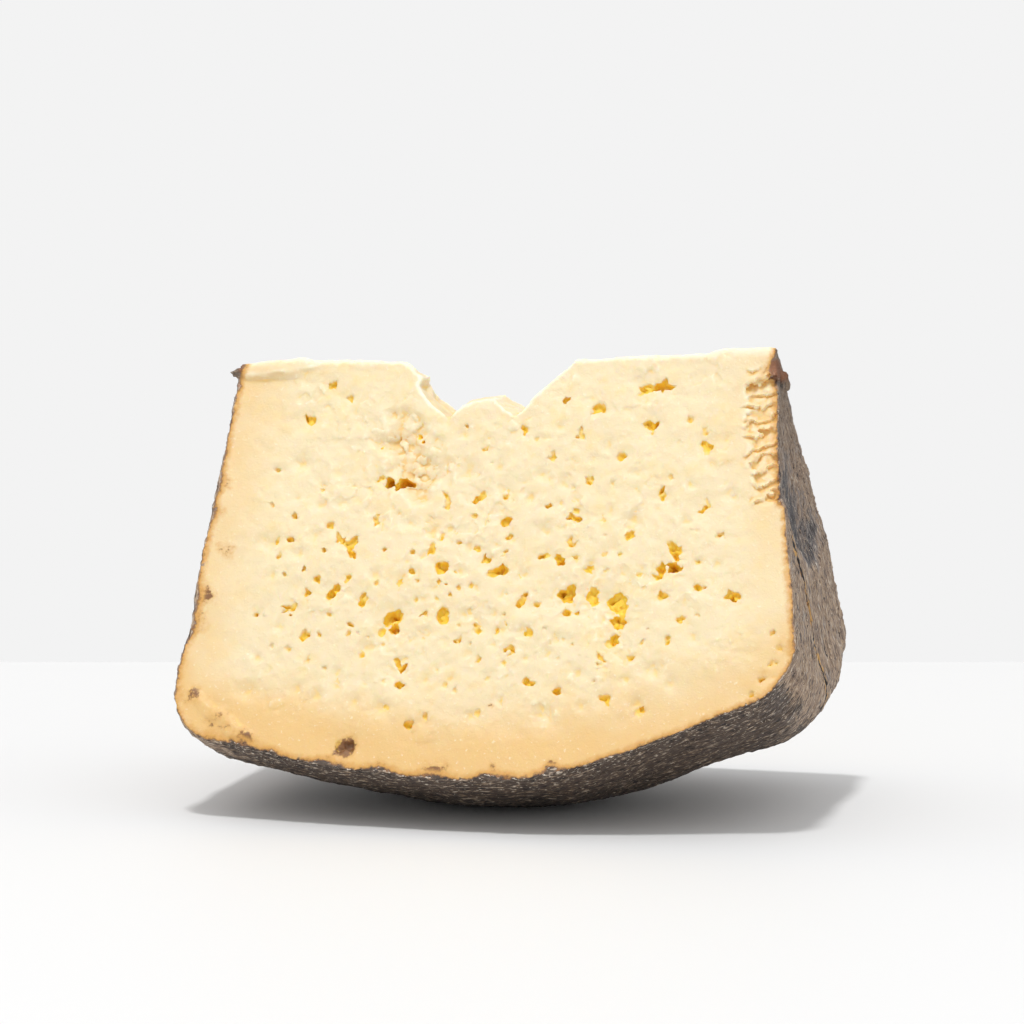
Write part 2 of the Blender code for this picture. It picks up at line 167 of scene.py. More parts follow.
LEFT, RIGHT = -1, 1
FRONT, BACK = 1, -1
BELLY_RADIUS = 100.5 * MM
BELLY_X = 2 * MM
RIM_HALF_HEIGHT = 68.8 * MM
AXIS_HALF_HEIGHT = {LEFT: 62.6 * MM, RIGHT: 60.4 * MM}
HEEL_SLOPE = {LEFT: 0.36, RIGHT: 0.54}
HEEL_SOFTNESS = {LEFT: 66 * MM, RIGHT: 32 * MM}
CORNER_RADIUS = 9 * MM
SINK_POWER = 1.2
HEEL_LEAN = 0.02
FULLER_BEHIND = 0.27
CUT_HALF_ANGLE = math.radians(28)
APEX_BLUNT = 1.2 * MM
APEX_LIFTS = (
    (-63, -0.4), (-38, 0.3), (-24, -0.3), (20, -0.3), (30, 0.3), (44, 0.5), (48, 1.7), (61, 1.6),
)
APEX_LIFT_REACH = 22 * MM
AXIS_PLACE = Vector((-0.5 * MM, 0, 100.05 * MM))
ROLL = math.radians(1.6)
FOOT_CLEAR = 12 * MM
CROWDING_AT_ENDS = 0.55
RIND_WAVES = ((0.75 * MM, 17 * MM), (0.4 * MM, 8 * MM))
CUT_WAVES = ((0.45 * MM, 24 * MM), (0.2 * MM, 9 * MM))
FOLD_RADIUS, FOLD_SLANT = 47.5 * MM, 20 * MM
FOLD_HEIGHT, FOLD_WIDTH = 1.3 * MM, 5 * MM
RIND_LUMPS = (
    (58 * MM, 88 * MM, math.radians(2), 1.0 * MM, 9 * MM),
    (69 * MM, 71 * MM, math.radians(-27), -0.9 * MM, 9 * MM),
    (66 * MM, 46 * MM, math.radians(-26), 1.0 * MM, 14 * MM),
    (66 * MM, 84 * MM, math.radians(12), 1.0 * MM, 8 * MM),
    (-62 * MM, 88 * MM, math.radians(6), -0.9 * MM, 9 * MM),
    (-30 * MM, 97 * MM, math.radians(-12), 0.9 * MM, 11 * MM),
)
WHEEL_TO_PART = Matrix.Translation(AXIS_PLACE) @ Matrix.Rotation(-ROLL, 4, "Y")
GRID_DOUBLINGS = 6


def smooth_step(values):
    t = np.clip(values, 0, 1)
    return t * t * (3 - 2 * t)


def waves(points, heights_and_lengths, seed):
    """The sum of a few slow noise waves at many points."""
    total = np.zeros(len(points))
    for number, (height, length) in enumerate(heights_and_lengths):
        shift = Vector((seed * 3.1, number * 7.7, seed * 1.9))
        total += height * np.array([noise.noise(Vector(p) / length + shift) for p in points.tolist()])
    return total


def into_corner(x):
    return np.clip((abs(x) - RIM_HALF_HEIGHT + CORNER_RADIUS) / CORNER_RADIUS, 0, 1)


def heel_radius(x, w):
    """Radius of the heel at x, from the back cut, w = -1, to the front one, w = 1."""
    left = x < BELLY_X
    softness = np.where(left, HEEL_SOFTNESS[LEFT], HEEL_SOFTNESS[RIGHT])
    slope = np.where(left, HEEL_SLOPE[LEFT], HEEL_SLOPE[RIGHT] * (1 - FULLER_BEHIND * (1 - w) / 2))
    fall = slope * (np.hypot(x - BELLY_X, softness) - softness)
    return BELLY_RADIUS - fall - CORNER_RADIUS * (1 - np.sqrt(1 - into_corner(x) ** 2))


def half_height(side, radius):
    """Distance from the wheel's middle to its flat face, on a side that is given for each radius."""
    at_axis = np.where(side < 0, AXIS_HALF_HEIGHT[LEFT], AXIS_HALF_HEIGHT[RIGHT])
    gain = (radius / heel_radius(side * RIM_HALF_HEIGHT, 1.0)) ** SINK_POWER
    return at_axis + (RIM_HALF_HEIGHT - at_axis) * gain


def in_wheel(x, radius, angle):
    return np.stack([x, -radius * np.sin(angle), -radius * np.cos(angle)], axis=-1)


def cut_normal(side):
    return np.array((0, -side * math.cos(CUT_HALF_ANGLE), math.sin(CUT_HALF_ANGLE)))


def fold_relief(radius, angle):
    """How far the right flat face is sunk between the fold and the axis."""
    below = smooth_step((FOLD_RADIUS - FOLD_SLANT * angle - radius) / FOLD_WIDTH)
    turned = smooth_step((angle + CUT_HALF_ANGLE) / CUT_HALF_ANGLE)
    return FOLD_HEIGHT * below * turned * smooth_step(radius / FOLD_RADIUS)


def apex_lift(x, radius):
    """How far a point near the top edge is raised."""
    lift = np.zeros(len(x))
    for (near, low), (far, high) in zip(APEX_LIFTS, APEX_LIFTS[1:]):
        inside = (x >= near * MM) & (x < far * MM)
        lift += np.where(inside, low + (high - low) * smooth_step((x / MM - near) / (far - near)), 0)
    lift += np.where(x < APEX_LIFTS[0][0] * MM, APEX_LIFTS[0][1], 0)
    lift += np.where(x >= APEX_LIFTS[-1][0] * MM, APEX_LIFTS[-1][1], 0)
    return lift * MM * smooth_step(1 - radius / APEX_LIFT_REACH)


def swell(points):
    """How far the rind stands out at a point, from its slow waves and its lumps."""
    foot = in_wheel(np.array(BELLY_X), BELLY_RADIUS, 0.0)
    away_from_foot = smooth_step((np.linalg.norm(points - foot, axis=1) - FOOT_CLEAR) / FOOT_CLEAR)
    total = waves(points, RIND_WAVES, seed=2) * away_from_foot
    for x, radius, angle, height, width in RIND_LUMPS:
        away = np.linalg.norm(points - in_wheel(np.array(x), radius, angle), axis=1) / width
        total += height * np.exp(-away * away)
    return total


def wedge_points(u, v, w):
    """Maps points of the cube from -1 to 1 onto the wedge: u along the axis, v from the axis out to
    the heel and w from the back cut to the front one."""
    along = (1 - CROWDING_AT_ENDS) * u + CROWDING_AT_ENDS * np.sin(u * math.pi / 2)
    out = (v + 1) / 2
    side = np.where(u < 0, LEFT, RIGHT)
    edge_radius = APEX_BLUNT + out * (heel_radius(side * RIM_HALF_HEIGHT, w) - APEX_BLUNT)
    x = along * half_height(side, edge_radius)
    heel = heel_radius(along * RIM_HALF_HEIGHT, w) + HEEL_LEAN * x * (1 - w * w)
    radius = APEX_BLUNT + out * (heel - APEX_BLUNT)
    angle = w * CUT_HALF_ANGLE
    points = in_wheel(x, radius, angle)
    points[:, 2] += apex_lift(x, radius)
    stand_out = swell(points)
    moved = points.copy()
    corner = into_corner(along * RIM_HALF_HEIGHT)
    on_heel = (v == 1) & (abs(u) < 1)
    outward = in_wheel(np.zeros(len(u)), 1.0, angle) * np.sqrt(1 - corner ** 2)[:, None]
    outward[:, 0] = np.copysign(corner, u)
    moved += outward * (stand_out * on_heel)[:, None]
    moved[:, 0] += side * stand_out * smooth_step(radius / FOLD_RADIUS) * (abs(u) == 1)
    moved[:, 0] -= fold_relief(radius, angle) * (u == 1)
    for face in (FRONT, BACK):
        on_cut = (w == face) & (v > -1)
        lift = waves(points, CUT_WAVES, seed=5 + face) * on_cut
        moved += cut_normal(face) * lift[:, None]
    return moved


def get_points(piece, of="co"):
    flat = np.empty(len(piece.data.vertices) * 3, np.float32)
    piece.data.vertices.foreach_get(of, flat)
    return flat.reshape(-1, 3).astype(float)


def set_points(piece, points):
    piece.data.vertices.foreach_set("co", points.astype(np.float32).ravel())
    piece.data.update()


def choose(piece):
    bpy.ops.object.select_all(action="DESELECT")
    piece.select_set(True)
    bpy.context.view_layer.objects.active = piece


def apply_modifier(piece, kind, **settings):
    choose(piece)
    modifier = piece.modifiers.new(kind.lower(), kind)
    for name, value in settings.items():
        setattr(modifier, name, value)
    bpy.ops.object.modifier_apply(modifier=modifier.name)


def add_body():
    bpy.ops.mesh.primitive_cube_add(size=2)
    body = bpy.context.object
    body.name = "pecorino"
    doublings = dict(levels=GRID_DOUBLINGS, render_levels=GRID_DOUBLINGS)
    apply_modifier(body, "SUBSURF", subdivision_type="SIMPLE", **doublings)
    u, w, v = np.round(get_points(body).T, 6)
    set_points(body, wedge_points(u, -v, -w))
    return body


body = add_body()


# Rough balls, which cut the eyes and the torn strip and add the burrs. One ball is modelled and
# copied, each copy with its own lumps, and the copies are joined by a remesh where they overlap.

LUMPY = 0.4


def lattice_noise(points, seed=0):
    """Smooth gradient noise, about -1 to 1, at many points."""
    cell = np.floor(points).astype(np.int64)
    inside = points - cell
    fade = inside ** 3 * (inside * (inside * 6 - 15) + 10)
    total = np.zeros(len(points))
    for corner in product((0, 1), repeat=3):
        weight = np.prod(np.where(corner, fade, 1 - fade), axis=1)
        slope = random_vectors(cell + corner, seed)
        total += weight * np.sum(slope * (inside - corner), axis=1)
    return total * 1.5


def random_vectors(cells, seed):
    """A vector from -1 to 1 for each whole-number cell, the same in every run."""
    x, y, z = (cells & 0xFFFF).T
    mixed = (x * 73856093) ^ (y * 19349663) ^ (z * 83492791) ^ (seed * 2654435761)
    columns = []
    for turn in (0x9E3779B1, 0x85EBCA6B, 0xC2B2AE35):
        value = ((mixed & 0xFFFFFFFF) * turn) & 0xFFFFFFFF
        value = ((value ^ (value >> 15)) * 0x2C1B3C6D) & 0xFFFFFFFF
        columns.append((value ^ (value >> 12)) / 0x7FFFFFFF - 1)
    return np.stack(columns, axis=1)


def ball_template(doublings):
    bpy.ops.mesh.primitive_ico_sphere_add(subdivisions=doublings, radius=1)
    ball = bpy.context.object
    corners = get_points(ball)
    faces = np.array([list(face.vertices) for face in ball.data.polygons])
    bpy.data.objects.remove(ball)
    return corners, faces


def add_mesh(name, points, faces):
    data = bpy.data.meshes.new(name)
    data.from_pydata([tuple(point) for point in points], [], [tuple(face) for face in faces])
    piece = bpy.data.objects.new(name, data)
    bpy.context.scene.collection.objects.link(piece)
    return piece


def add_balls(name, balls, doublings=3):
    """One mesh of lumpy balls, each given as a frame, three half sizes and how lumpy it is."""
    corners, faces = ball_template(doublings)
    points, all_faces = [], []
    for number, (placed, size, lumpy) in enumerate(balls):
        shift = np.array(placed.translation) / (1.7 * MM) + number
        lump = lattice_noise(corners * 1.7 + shift) + 0.5 * lattice_noise(corners * 3.9 + shift)
        shaped = corners * (1 + lumpy * lump)[:, None] * np.array(size)
        matrix = np.array(placed)
        points.append(shaped @ matrix[:3, :3].T + matrix[:3, 3])
        all_faces.append(faces + number * len(corners))
    return add_mesh(name, np.concatenate(points), np.concatenate(all_faces))


def cut_frame(side, x, radius, depth=0.0, turn=0.0):
    """A frame on a cut face: X along the axis, Y into the cheese, Z towards the axis."""
    inwards = Vector(-cut_normal(side))
    up = Vector((0, side * math.sin(CUT_HALF_ANGLE), math.cos(CUT_HALF_ANGLE)))
    place = Vector(in_wheel(np.array(x), radius, side * CUT_HALF_ANGLE)) + inwards * depth
    columns = Matrix((inwards.cross(up), inwards, up)).transposed().to_4x4()
    return Matrix.Translation(place) @ columns @ Matrix.Rotation(turn, 4, "Y")


def end_frame(side, radius, angle):
    """A frame on a flat face of the wheel: X round it, Y into the cheese, Z towards the axis."""
    inwards = Vector((-side, 0, 0))
    up = Vector((0, math.sin(angle), math.cos(angle)))
    height = float(half_height(np.array(side), radius))
    place = Vector(in_wheel(np.array(side * height), radius, angle))
    columns = Matrix((inwards.cross(up), inwards, up)).transposed().to_4x4()
    return Matrix.Translation(place) @ columns


# The eyes: small gas holes of the paste, opened by the knife. They are ragged where curds parted,
# so each is a huddle of balls. The large ones have their places, and the small ones are drawn.

FRONT_EYES = (
    (-40.5, 6.5, 2.4, 3.2), (-45, 15.5, 3.2, 3.8), (-36, 9.6, 1.8, 3.4), (-26.9, 21, 2.8, 2.4),
    (-19, 20, 3.4, 2.8), (-40, 32, 2, 2.6), (-11, 35, 2.2, 4.8), (-4, 34.5, 3.2, 4.2),
    (2, 34, 2, 4.2), (-4.6, 39, 1.8, 2.2), (2.5, 40, 3.2, 3.4), (-11, 51, 3.7, 3.8),
    (-34.5, 44, 2.3, 3.8), (-31.5, 46, 3, 5.6), (-39, 53.4, 1.8, 3.4), (-35, 57, 3.6, 3.4),
    (-41, 57, 1.8, 2.4), (-28, 59, 2.7, 3.8), (-32, 53.4, 1.8, 2.9), (-20.5, 64, 4.5, 7),
    (-23, 66, 2.7, 2.9), (-40.5, 66.5, 2.7, 3.8), (-30.5, 65.4, 1.8, 2.9), (-39, 73, 1.8, 3.4),
    (-18.5, 74.5, 4, 4.3), (-18, 78.5, 3.1, 1.9), (-9.5, 62, 3.1, 4.8), (-14, 62, 1.8, 2.4),
    (18, 39, 4, 3.4), (12, 48.4, 3.1, 3.4), (15, 49, 3.6, 2.9), (17, 57, 5.4, 3.8),
    (23, 58, 4.5, 4.3), (28.5, 59.5, 5.4, 5.8), (29.6, 63, 4.5, 3.8), (29, 68, 3.6, 3.4),
    (19, 61.4, 3.1, 3.4), (11.7, 60, 2.7, 2.9), (7.4, 60, 2.7, 2.4), (2.5, 52, 4.5, 3.6),
    (-1.2, 49.3, 3.1, 2.4), (40.6, 46, 4, 5.3), (40, 51.6, 5.8, 3.4), (37.4, 53, 3.1, 2.4),
    (21.3, 13.3, 2.7, 4.3), (33, 17.5, 4, 5), (36, 9, 6.6, 3.6), (31.4, 9, 3.4, 4),
    (20.3, 30, 2.2, 2.9), (25.8, 31.7, 1.8, 2.9), (37, 34, 3.6, 3.2), (46.5, 37, 3, 4.3),
    (45.6, 23.5, 3, 4.6), (45.7, 19.3, 1.8, 3.4), (42, 16.4, 1.8, 1.9), (39.7, 21.6, 1.3, 1.4),
    (13.5, 11, 2.7, 2.4), (12, 24.5, 1.8, 3.8), (17.7, 20.3, 1.8, 3.4), (54, 58, 4.2, 2.8),
    (47, 56, 2.7, 1.9), (26.4, 72.4, 2.2, 3.4), (17.3, 79.3, 3.6, 2.4), (28, 81, 2.7, 3.4),
    (39, 57.4, 2.7, 2.9), (40.6, 68, 1.8, 2.4), (5, 81.7, 1.8, 2.9), (8, 58, 2.2, 2.4),
    (-1.7, 65, 2.2, 3.4), (-5.5, 68, 2.2, 2.4), (6, 70, 2.7, 3.4), (10.7, 77, 3.1, 3.4),
    (-23.9, 30.6, 7.6, 3.2), (-27, 29.4, 2.4, 2.6), (63.5, 66, 1.6, 2.2), (65, 69.5, 1.8, 1.8),
    (63.8, 73, 2.2, 1.8), (62, 76.5, 2.2, 1.8), (64.2, 76, 1.4, 1.4), (59.5, 80, 2.2, 1.6),
    (-14.4, 87.6, 3.2, 1.8), (-11.2, 85.6, 1.4, 2.6),
)
MOULD_PIT = (-28.3, 92.8, 4.9, 4.2)
TINY_EYES, TINY_EYE_SIZE = 130, (1.1 * MM, 2.6 * MM)
DENTS, DENT_SIZE, DENT_DEPTH = 90, (2.4 * MM, 5.4 * MM), 0.2
BACK_EYES, BACK_EYE_SIZE = 130, (1.0 * MM, 4.6 * MM)
EYE_FIELD_X, EYE_FIELD_RADII = 52 * MM, (10 * MM, 88 * MM)
EYE_DEPTH, DEPTH_NEAR_APEX = 0.6, 0.3
LOBES, ONE_BALL_BELOW = 5, 2.1 * MM
LOBE_OUT, LOBE_HALF_SIZE, LOBE_DEEP = (0.06, 0.42), (0.12, 0.36), (0.35, 1)
BALL_DEEP, BALL_SUNK, PIT_DEPTH = 0.75, 0.05, 0.3
RAGGED, RAGGED_SIZE = 0.27 * MM, 0.8 * MM
NOTCH_ROOM = 16 * MM


def eye_balls(side, eye, draw, depth=EYE_DEPTH):
    """The balls that cut one eye: one for a small eye, and a huddle of them for a large one."""
    x, radius, width, height = eye
    deepest = min(depth * width, DEPTH_NEAR_APEX * radius)
    if max(width, height) < ONE_BALL_BELOW:
        placed = cut_frame(side, x, radius, BALL_SUNK * width, draw.uniform(-1, 1))
        return [(placed, (width / 2, BALL_DEEP * deepest, height / 2), LUMPY)]
    balls = []
    for _ in range(LOBES):
        turned, out = draw.uniform(0, 2 * math.pi), draw.uniform(*LOBE_OUT)
        aside, down = out * width * math.cos(turned), out * height * math.sin(turned)
        placed = cut_frame(side, x + aside, radius + down, BALL_SUNK * width, draw.uniform(-1.5, 1.5))
        half = [value * draw.uniform(*LOBE_HALF_SIZE) for value in (width, height)]
        balls.append((placed, (half[0], deepest * draw.uniform(*LOBE_DEEP), half[1]), LUMPY))
    return balls


def draw_eyes(count, sizes, taken, draw):
    """Small eyes, thickest in the middle of the paste, clear of each other and of the rind."""
    found = []
    while len(found) < count:
        x = draw.gauss(0, 0.55) * EYE_FIELD_X
        radius = draw.triangular(*EYE_FIELD_RADII, EYE_FIELD_RADII[1] * 0.66)
        width = sizes[0] + (sizes[1] - sizes[0]) * draw.random() ** 2
        height = width * draw.uniform(0.6, 1.7)
        if abs(x) > EYE_FIELD_X or (radius < NOTCH_ROOM and abs(x + 4 * MM) < 22 * MM):
            continue
        reach = max(width, height)
        near = (math.hypot(x - e[0], radius - e[1]) < 0.6 * (reach + max(e[2:])) for e in taken + found)
        if not any(near):
            found.append((x, radius, width, height))
    return found


def cut_away(piece, cutter):
    apply_modifier(piece, "BOOLEAN", operation="DIFFERENCE", solver="MANIFOLD", object=cutter)
    bpy.data.objects.remove(cutter)


def remesh(piece, voxel):
    apply_modifier(piece, "REMESH", mode="VOXEL", voxel_size=voxel, adaptivity=0)


def get_normals(piece):
    return get_points(piece, of="normal")


def make_ragged(piece):
    """Crumbles a cutter's sides."""
    points = get_points(piece)
    crumble = RAGGED * lattice_noise(points / RAGGED_SIZE, seed=14)
    set_points(piece, points + get_normals(piece) * crumble[:, None])


def place_eyes():
    """All eyes by their cut: its side, the eye itself and how deep it is for its width."""
    draw = random.Random(11)
    large = [tuple(value * MM for value in eye) for eye in FRONT_EYES]
    small = draw_eyes(TINY_EYES, TINY_EYE_SIZE, large, draw)
    dents = draw_eyes(DENTS, DENT_SIZE, large, draw)
    behind = draw_eyes(BACK_EYES, BACK_EYE_SIZE, [], draw)
    pit = tuple(value * MM for value in MOULD_PIT)
    placed = [(FRONT, eye, EYE_DEPTH) for eye in large + small] + [(FRONT, pit, PIT_DEPTH)]
    placed += [(FRONT, dent, DENT_DEPTH) for dent in dents]
    return placed + [(BACK, eye, EYE_DEPTH) for eye in behind]


def make_eyes():
    draw = random.Random(12)
    balls = []
    for side, eye, depth in place_eyes():
        if depth != DENT_DEPTH:
            balls += eye_balls(side, eye, draw, depth)
    return add_balls("eyes", balls)


# The gap that broke out of the thin top edge. It shows a rough break, because the hard paste parted
# along its curds.

NOTCH_OUTLINE = (
    (-30, -3), (-24.2, 1.7), (-19.3, 4.7), (-20.2, 6.8), (-17.8, 10.4), (-13.3, 13.9), (-9.9, 11.2),
    (-7.5, 10), (-2.1, 9.3), (0.2, 11.7), (3.1, 13.7), (5.9, 10.3), (12.5, 3.4), (19, -3),
)
NOTCH_SLICES, NOTCH_REACH, NOTCH_CRAGS = 7, 11 * MM, 0.9 * MM


def ring_faces(rings, count):
    """Faces of a closed shape from rings of corners: its two ends and the strips between."""
    faces = [tuple(range(count)), tuple(reversed(range((rings - 1) * count, rings * count)))]
    for ring in range(rings - 1):
        for here in range(count):
            after = (here + 1) % count
            near, far = ring * count, (ring + 1) * count
            faces.append((near + after, near + here, far + here, far + after))
    return faces


def close_shape(name, points, rings, count):
    shape = add_mesh(name, points, ring_faces(rings, count))
    choose(shape)
    bpy.ops.object.mode_set(mode="EDIT")
    bpy.ops.mesh.select_all(action="SELECT")
    bpy.ops.mesh.quads_convert_to_tris()
    bpy.ops.mesh.normals_make_consistent(inside=False)
    bpy.ops.object.mode_set(mode="OBJECT")
    return shape


def make_notch():
    draw = random.Random(4)
    points = []
    for number in range(NOTCH_SLICES):
        y = NOTCH_REACH * (2 * number / (NOTCH_SLICES - 1) - 1)
        for x, down in NOTCH_OUTLINE:
            rough = NOTCH_CRAGS if down > 0 else 0
            moved_x = x * MM + draw.uniform(-rough, rough)
            points.append((moved_x, y, -down * MM + draw.uniform(-rough, rough)))
    return close_shape("notch", points, NOTCH_SLICES, len(NOTCH_OUTLINE))


# The strip beside the right flat face, where the knife tore the hard paste. It is a long shallow
# hollow in the front cut, and the relief below fills it with ledges.

STRIP_BALLS, STRIP_RADII, STRIP_INSIDE = 8, (9 * MM, 33 * MM), 2.6 * MM
STRIP_SIZE = (5.0 * MM, 1.1 * MM, 2.6 * MM)


def torn_edge(radius):
    return float(half_height(np.array(RIGHT), radius))


def make_strip():
    draw = random.Random(21)
    first, last = STRIP_RADII
    balls = []
    for number in range(STRIP_BALLS):
        radius = first + (last - first) * number / (STRIP_BALLS - 1)
        placed = cut_frame(FRONT, torn_edge(radius) - STRIP_INSIDE, radius, 0, draw.uniform(-0.3, 0.3))
        width, depth, height = STRIP_SIZE
        size = (width * draw.uniform(0.75, 1.15), min(depth, DEPTH_NEAR_APEX * radius), height)
        balls.append((placed, size, LUMPY))
    return add_balls("strip", balls, doublings=4)


# The crack that runs down the right flat face from the fold to the heel.

CRACK_PATH = ((21, 41), (13, 45), (9, 50), (7.5, 56), (6.5, 62), (2, 67.5), (-1.5, 73), (-4, 81))
CRACK_WIDTH, CRACK_DEPTH = 1.1 * MM, 2.2 * MM
CRACK_BEND = 0.35 * MM


def make_crack():
    draw = random.Random(8)
    points = []
    path = np.array(CRACK_PATH)
    steps = np.arange(0, len(path) - 1 + 0.01, 0.25)
    for step in steps:
        degrees, radius = (np.interp(step, range(len(path)), path[:, axis]) for axis in (0, 1))
        placed = end_frame(RIGHT, radius * MM, math.radians(degrees))
        opening = CRACK_WIDTH * (0.3 if step == 0 else draw.uniform(0.6, 1.15))
        bend = draw.uniform(-CRACK_BEND, CRACK_BEND)
        corners = (
            (-opening, -CRACK_DEPTH), (opening, -CRACK_DEPTH), (opening * 0.6, 0),
            (0, CRACK_DEPTH), (-opening * 0.6, 0),
        )
        points += [placed @ Vector((x + bend, y, 0)) for x, y in corners]
    return close_shape("crack", points, len(steps), len(corners))


# What stands proud: a lip the knife drew over the top left, a scab at the lower left corner,
# and a nub of rind at the top of the right flat face.

TOP_BURR_PLACE, TOP_BURR_LEAN = (-53 * MM, 3.2 * MM), math.radians(-4)
TOP_BURR_SIZE = (10.5 * MM, 1.5 * MM, 2.3 * MM)
SCAB_PIECES, SCAB_LEAN = ((-62, 83), (-59, 85.5), (-55.5, 87.5), (-52.5, 90)), math.radians(30)
SCAB_SIZE = (3.6 * MM, 0.6 * MM, 1.5 * MM)
NUB_RADIUS, NUB_ANGLE = 7.5 * MM, math.radians(-12)
NUB_SIZE = (1.3 * MM, 1.5 * MM, 2.6 * MM)
SMOOTHER = 0.25


def make_flakes():
    scab = [
        (cut_frame(FRONT, x * MM, radius * MM, 0, SCAB_LEAN + 0.3 * (-1) ** number), SCAB_SIZE, LUMPY)
        for number, (x, radius) in enumerate(SCAB_PIECES)
    ]
    return add_balls("flakes", scab + [
        (cut_frame(FRONT, *TOP_BURR_PLACE, 0, TOP_BURR_LEAN), TOP_BURR_SIZE, SMOOTHER),
        (end_frame(RIGHT, NUB_RADIUS, NUB_ANGLE), NUB_SIZE, LUMPY),
    ], doublings=4)


# Carving: the burrs are added, and the torn strip, the gap and the crack are cut away. Then one
# remesh gives the whole skin an even mesh that the relief can be worked into.

TEAR_VOXEL, SKIN_VOXEL = 0.3 * MM, 0.42 * MM


def add_lumps(piece, lumps):
    apply_modifier(piece, "BOOLEAN", operation="UNION", solver="MANIFOLD", object=lumps)
    bpy.data.objects.remove(lumps)


def carve(body):
    add_lumps(body, make_flakes())
    strip = make_strip()
    remesh(strip, TEAR_VOXEL)
    make_ragged(strip)
    for cutter in (strip, make_notch(), make_crack()):
        cut_away(body, cutter)
    remesh(body, SKIN_VOXEL)


carve(body)


# The relief: curds, crumbs and dents on the cuts, roughest in the middle, the hollow torn beside the
# gap, the ledges that the knife dragged out of the strip, and the wrinkled bark of the rind.

CURD_SIZE, CURD_STEP = 2.6 * MM, 0.16 * MM
PASTE_WAVES = ((5.5 * MM, 0.16 * MM), (2.1 * MM, 0.13 * MM), (0.95 * MM, 0.08 * MM))
WRINKLE_HEIGHT, PEBBLE_HEIGHT = 0.36 * MM, 0.26 * MM
GRAIN_LENGTH, GRAIN_WIDTH = 5.5 * MM, 1.2 * MM
SMOOTH_PASTE = 13 * MM
HOLLOW_ROUNDS, HOLLOW_FULL = 30, 0.45 * MM
CREVICE_ROUNDS, CREVICE_FULL = 9, 0.14 * MM
HIGHLIGHT_EDGE = 3.5 * MM
PASTE_BEGINS, RIND_WHERE_TURNED = (0.15 * MM, 0.45 * MM), 1.5 * MM
WARM_OVER_HEEL, WARM_AT_FLAT_DEPTH, WARM_AT_FLAT = 30 * MM, 26 * MM, 0.55
PALER_FROM, PALER_TO, PALER_RIGHT = 12 * MM, 50 * MM, 0.3
DISH_DEPTH, DISH_REACH = 0.13, 0.85
DENT_DISH_DEPTH, DENT_DISH_REACH = 0.2, 0.42
SCOOP_PLACE, SCOOP_SIZE = (-20.3 * MM, 24.6 * MM), (6.2 * MM, 10.5 * MM)
SCOOP_LEAN, SCOOP_DEPTH = math.radians(-30), 1.7 * MM
SCOOP_CRUMB, SCOOP_CRUMB_STEP = 2.0 * MM, 0.42 * MM
SCOOP_TORN = 0.8
RADIUS_FOR_GRAIN = 80 * MM
EDGE_ROUND_RADIUS, EDGE_ROUND_LIFT = 5 * MM, 0.35 * MM
TORN_WIDTH, TORN_RADII, TORN_FADE = 8.5 * MM, (3.5 * MM, 37 * MM), 3 * MM
LEDGE_HEIGHT, LEDGE_SLANT, LEDGE_STEP = 3.1 * MM, 9 * MM, 0.9 * MM
LEDGE_WANDERS = ((0.75, 4.5 * MM), (0.3, 1.6 * MM))
LEDGE_STEEPNESS, LEDGE_SUNK = 1.4, 0.4


def nearest_cells(points, seed=0):
    """For many points: the distance to the nearest scattered centre, and that centre's own vector."""
    cell = np.floor(points).astype(np.int64)
    nearest = np.full(len(points), 9.0)
    own = np.zeros((len(points), 3))
    for step in product((-1, 0, 1), repeat=3):
        there = cell + step
        jitter = random_vectors(there, seed)
        offset = there + 0.5 + 0.45 * jitter - points
        away = np.linalg.norm(offset, axis=1)
        closer = away < nearest
        nearest = np.where(closer, away, nearest)
        own[closer] = jitter[closer]
    return nearest, own


def get_edges(piece):
    ends = np.empty(len(piece.data.edges) * 2, np.int32)
    piece.data.edges.foreach_get("vertices", ends)
    return ends.reshape(-1, 2)


def neighbour_smooth(values, edges, rounds):
    """Averages each vertex with its neighbours, again and again."""
    count = len(values)
    number = np.bincount(edges.ravel(), minlength=count)[:, None]
    for _ in range(rounds):
        total = np.empty_like(values)
        for axis in range(values.shape[1]):
            column = values[:, axis]
            ends = np.concatenate([column[edges[:, 1]], column[edges[:, 0]]])
            total[:, axis] = np.bincount(edges.T.ravel(), weights=ends, minlength=count)
        values = 0.5 * values + 0.5 * total / number
    return values


def cut_depth(points, side):
    """How deep points lie under a cut, from the knife's own slow waves."""
    normal = cut_normal(side)
    from_plane = -points @ normal
    on_plane = points + normal * from_plane[:, None]
    return from_plane + waves(on_plane, CUT_WAVES, seed=5 + side)


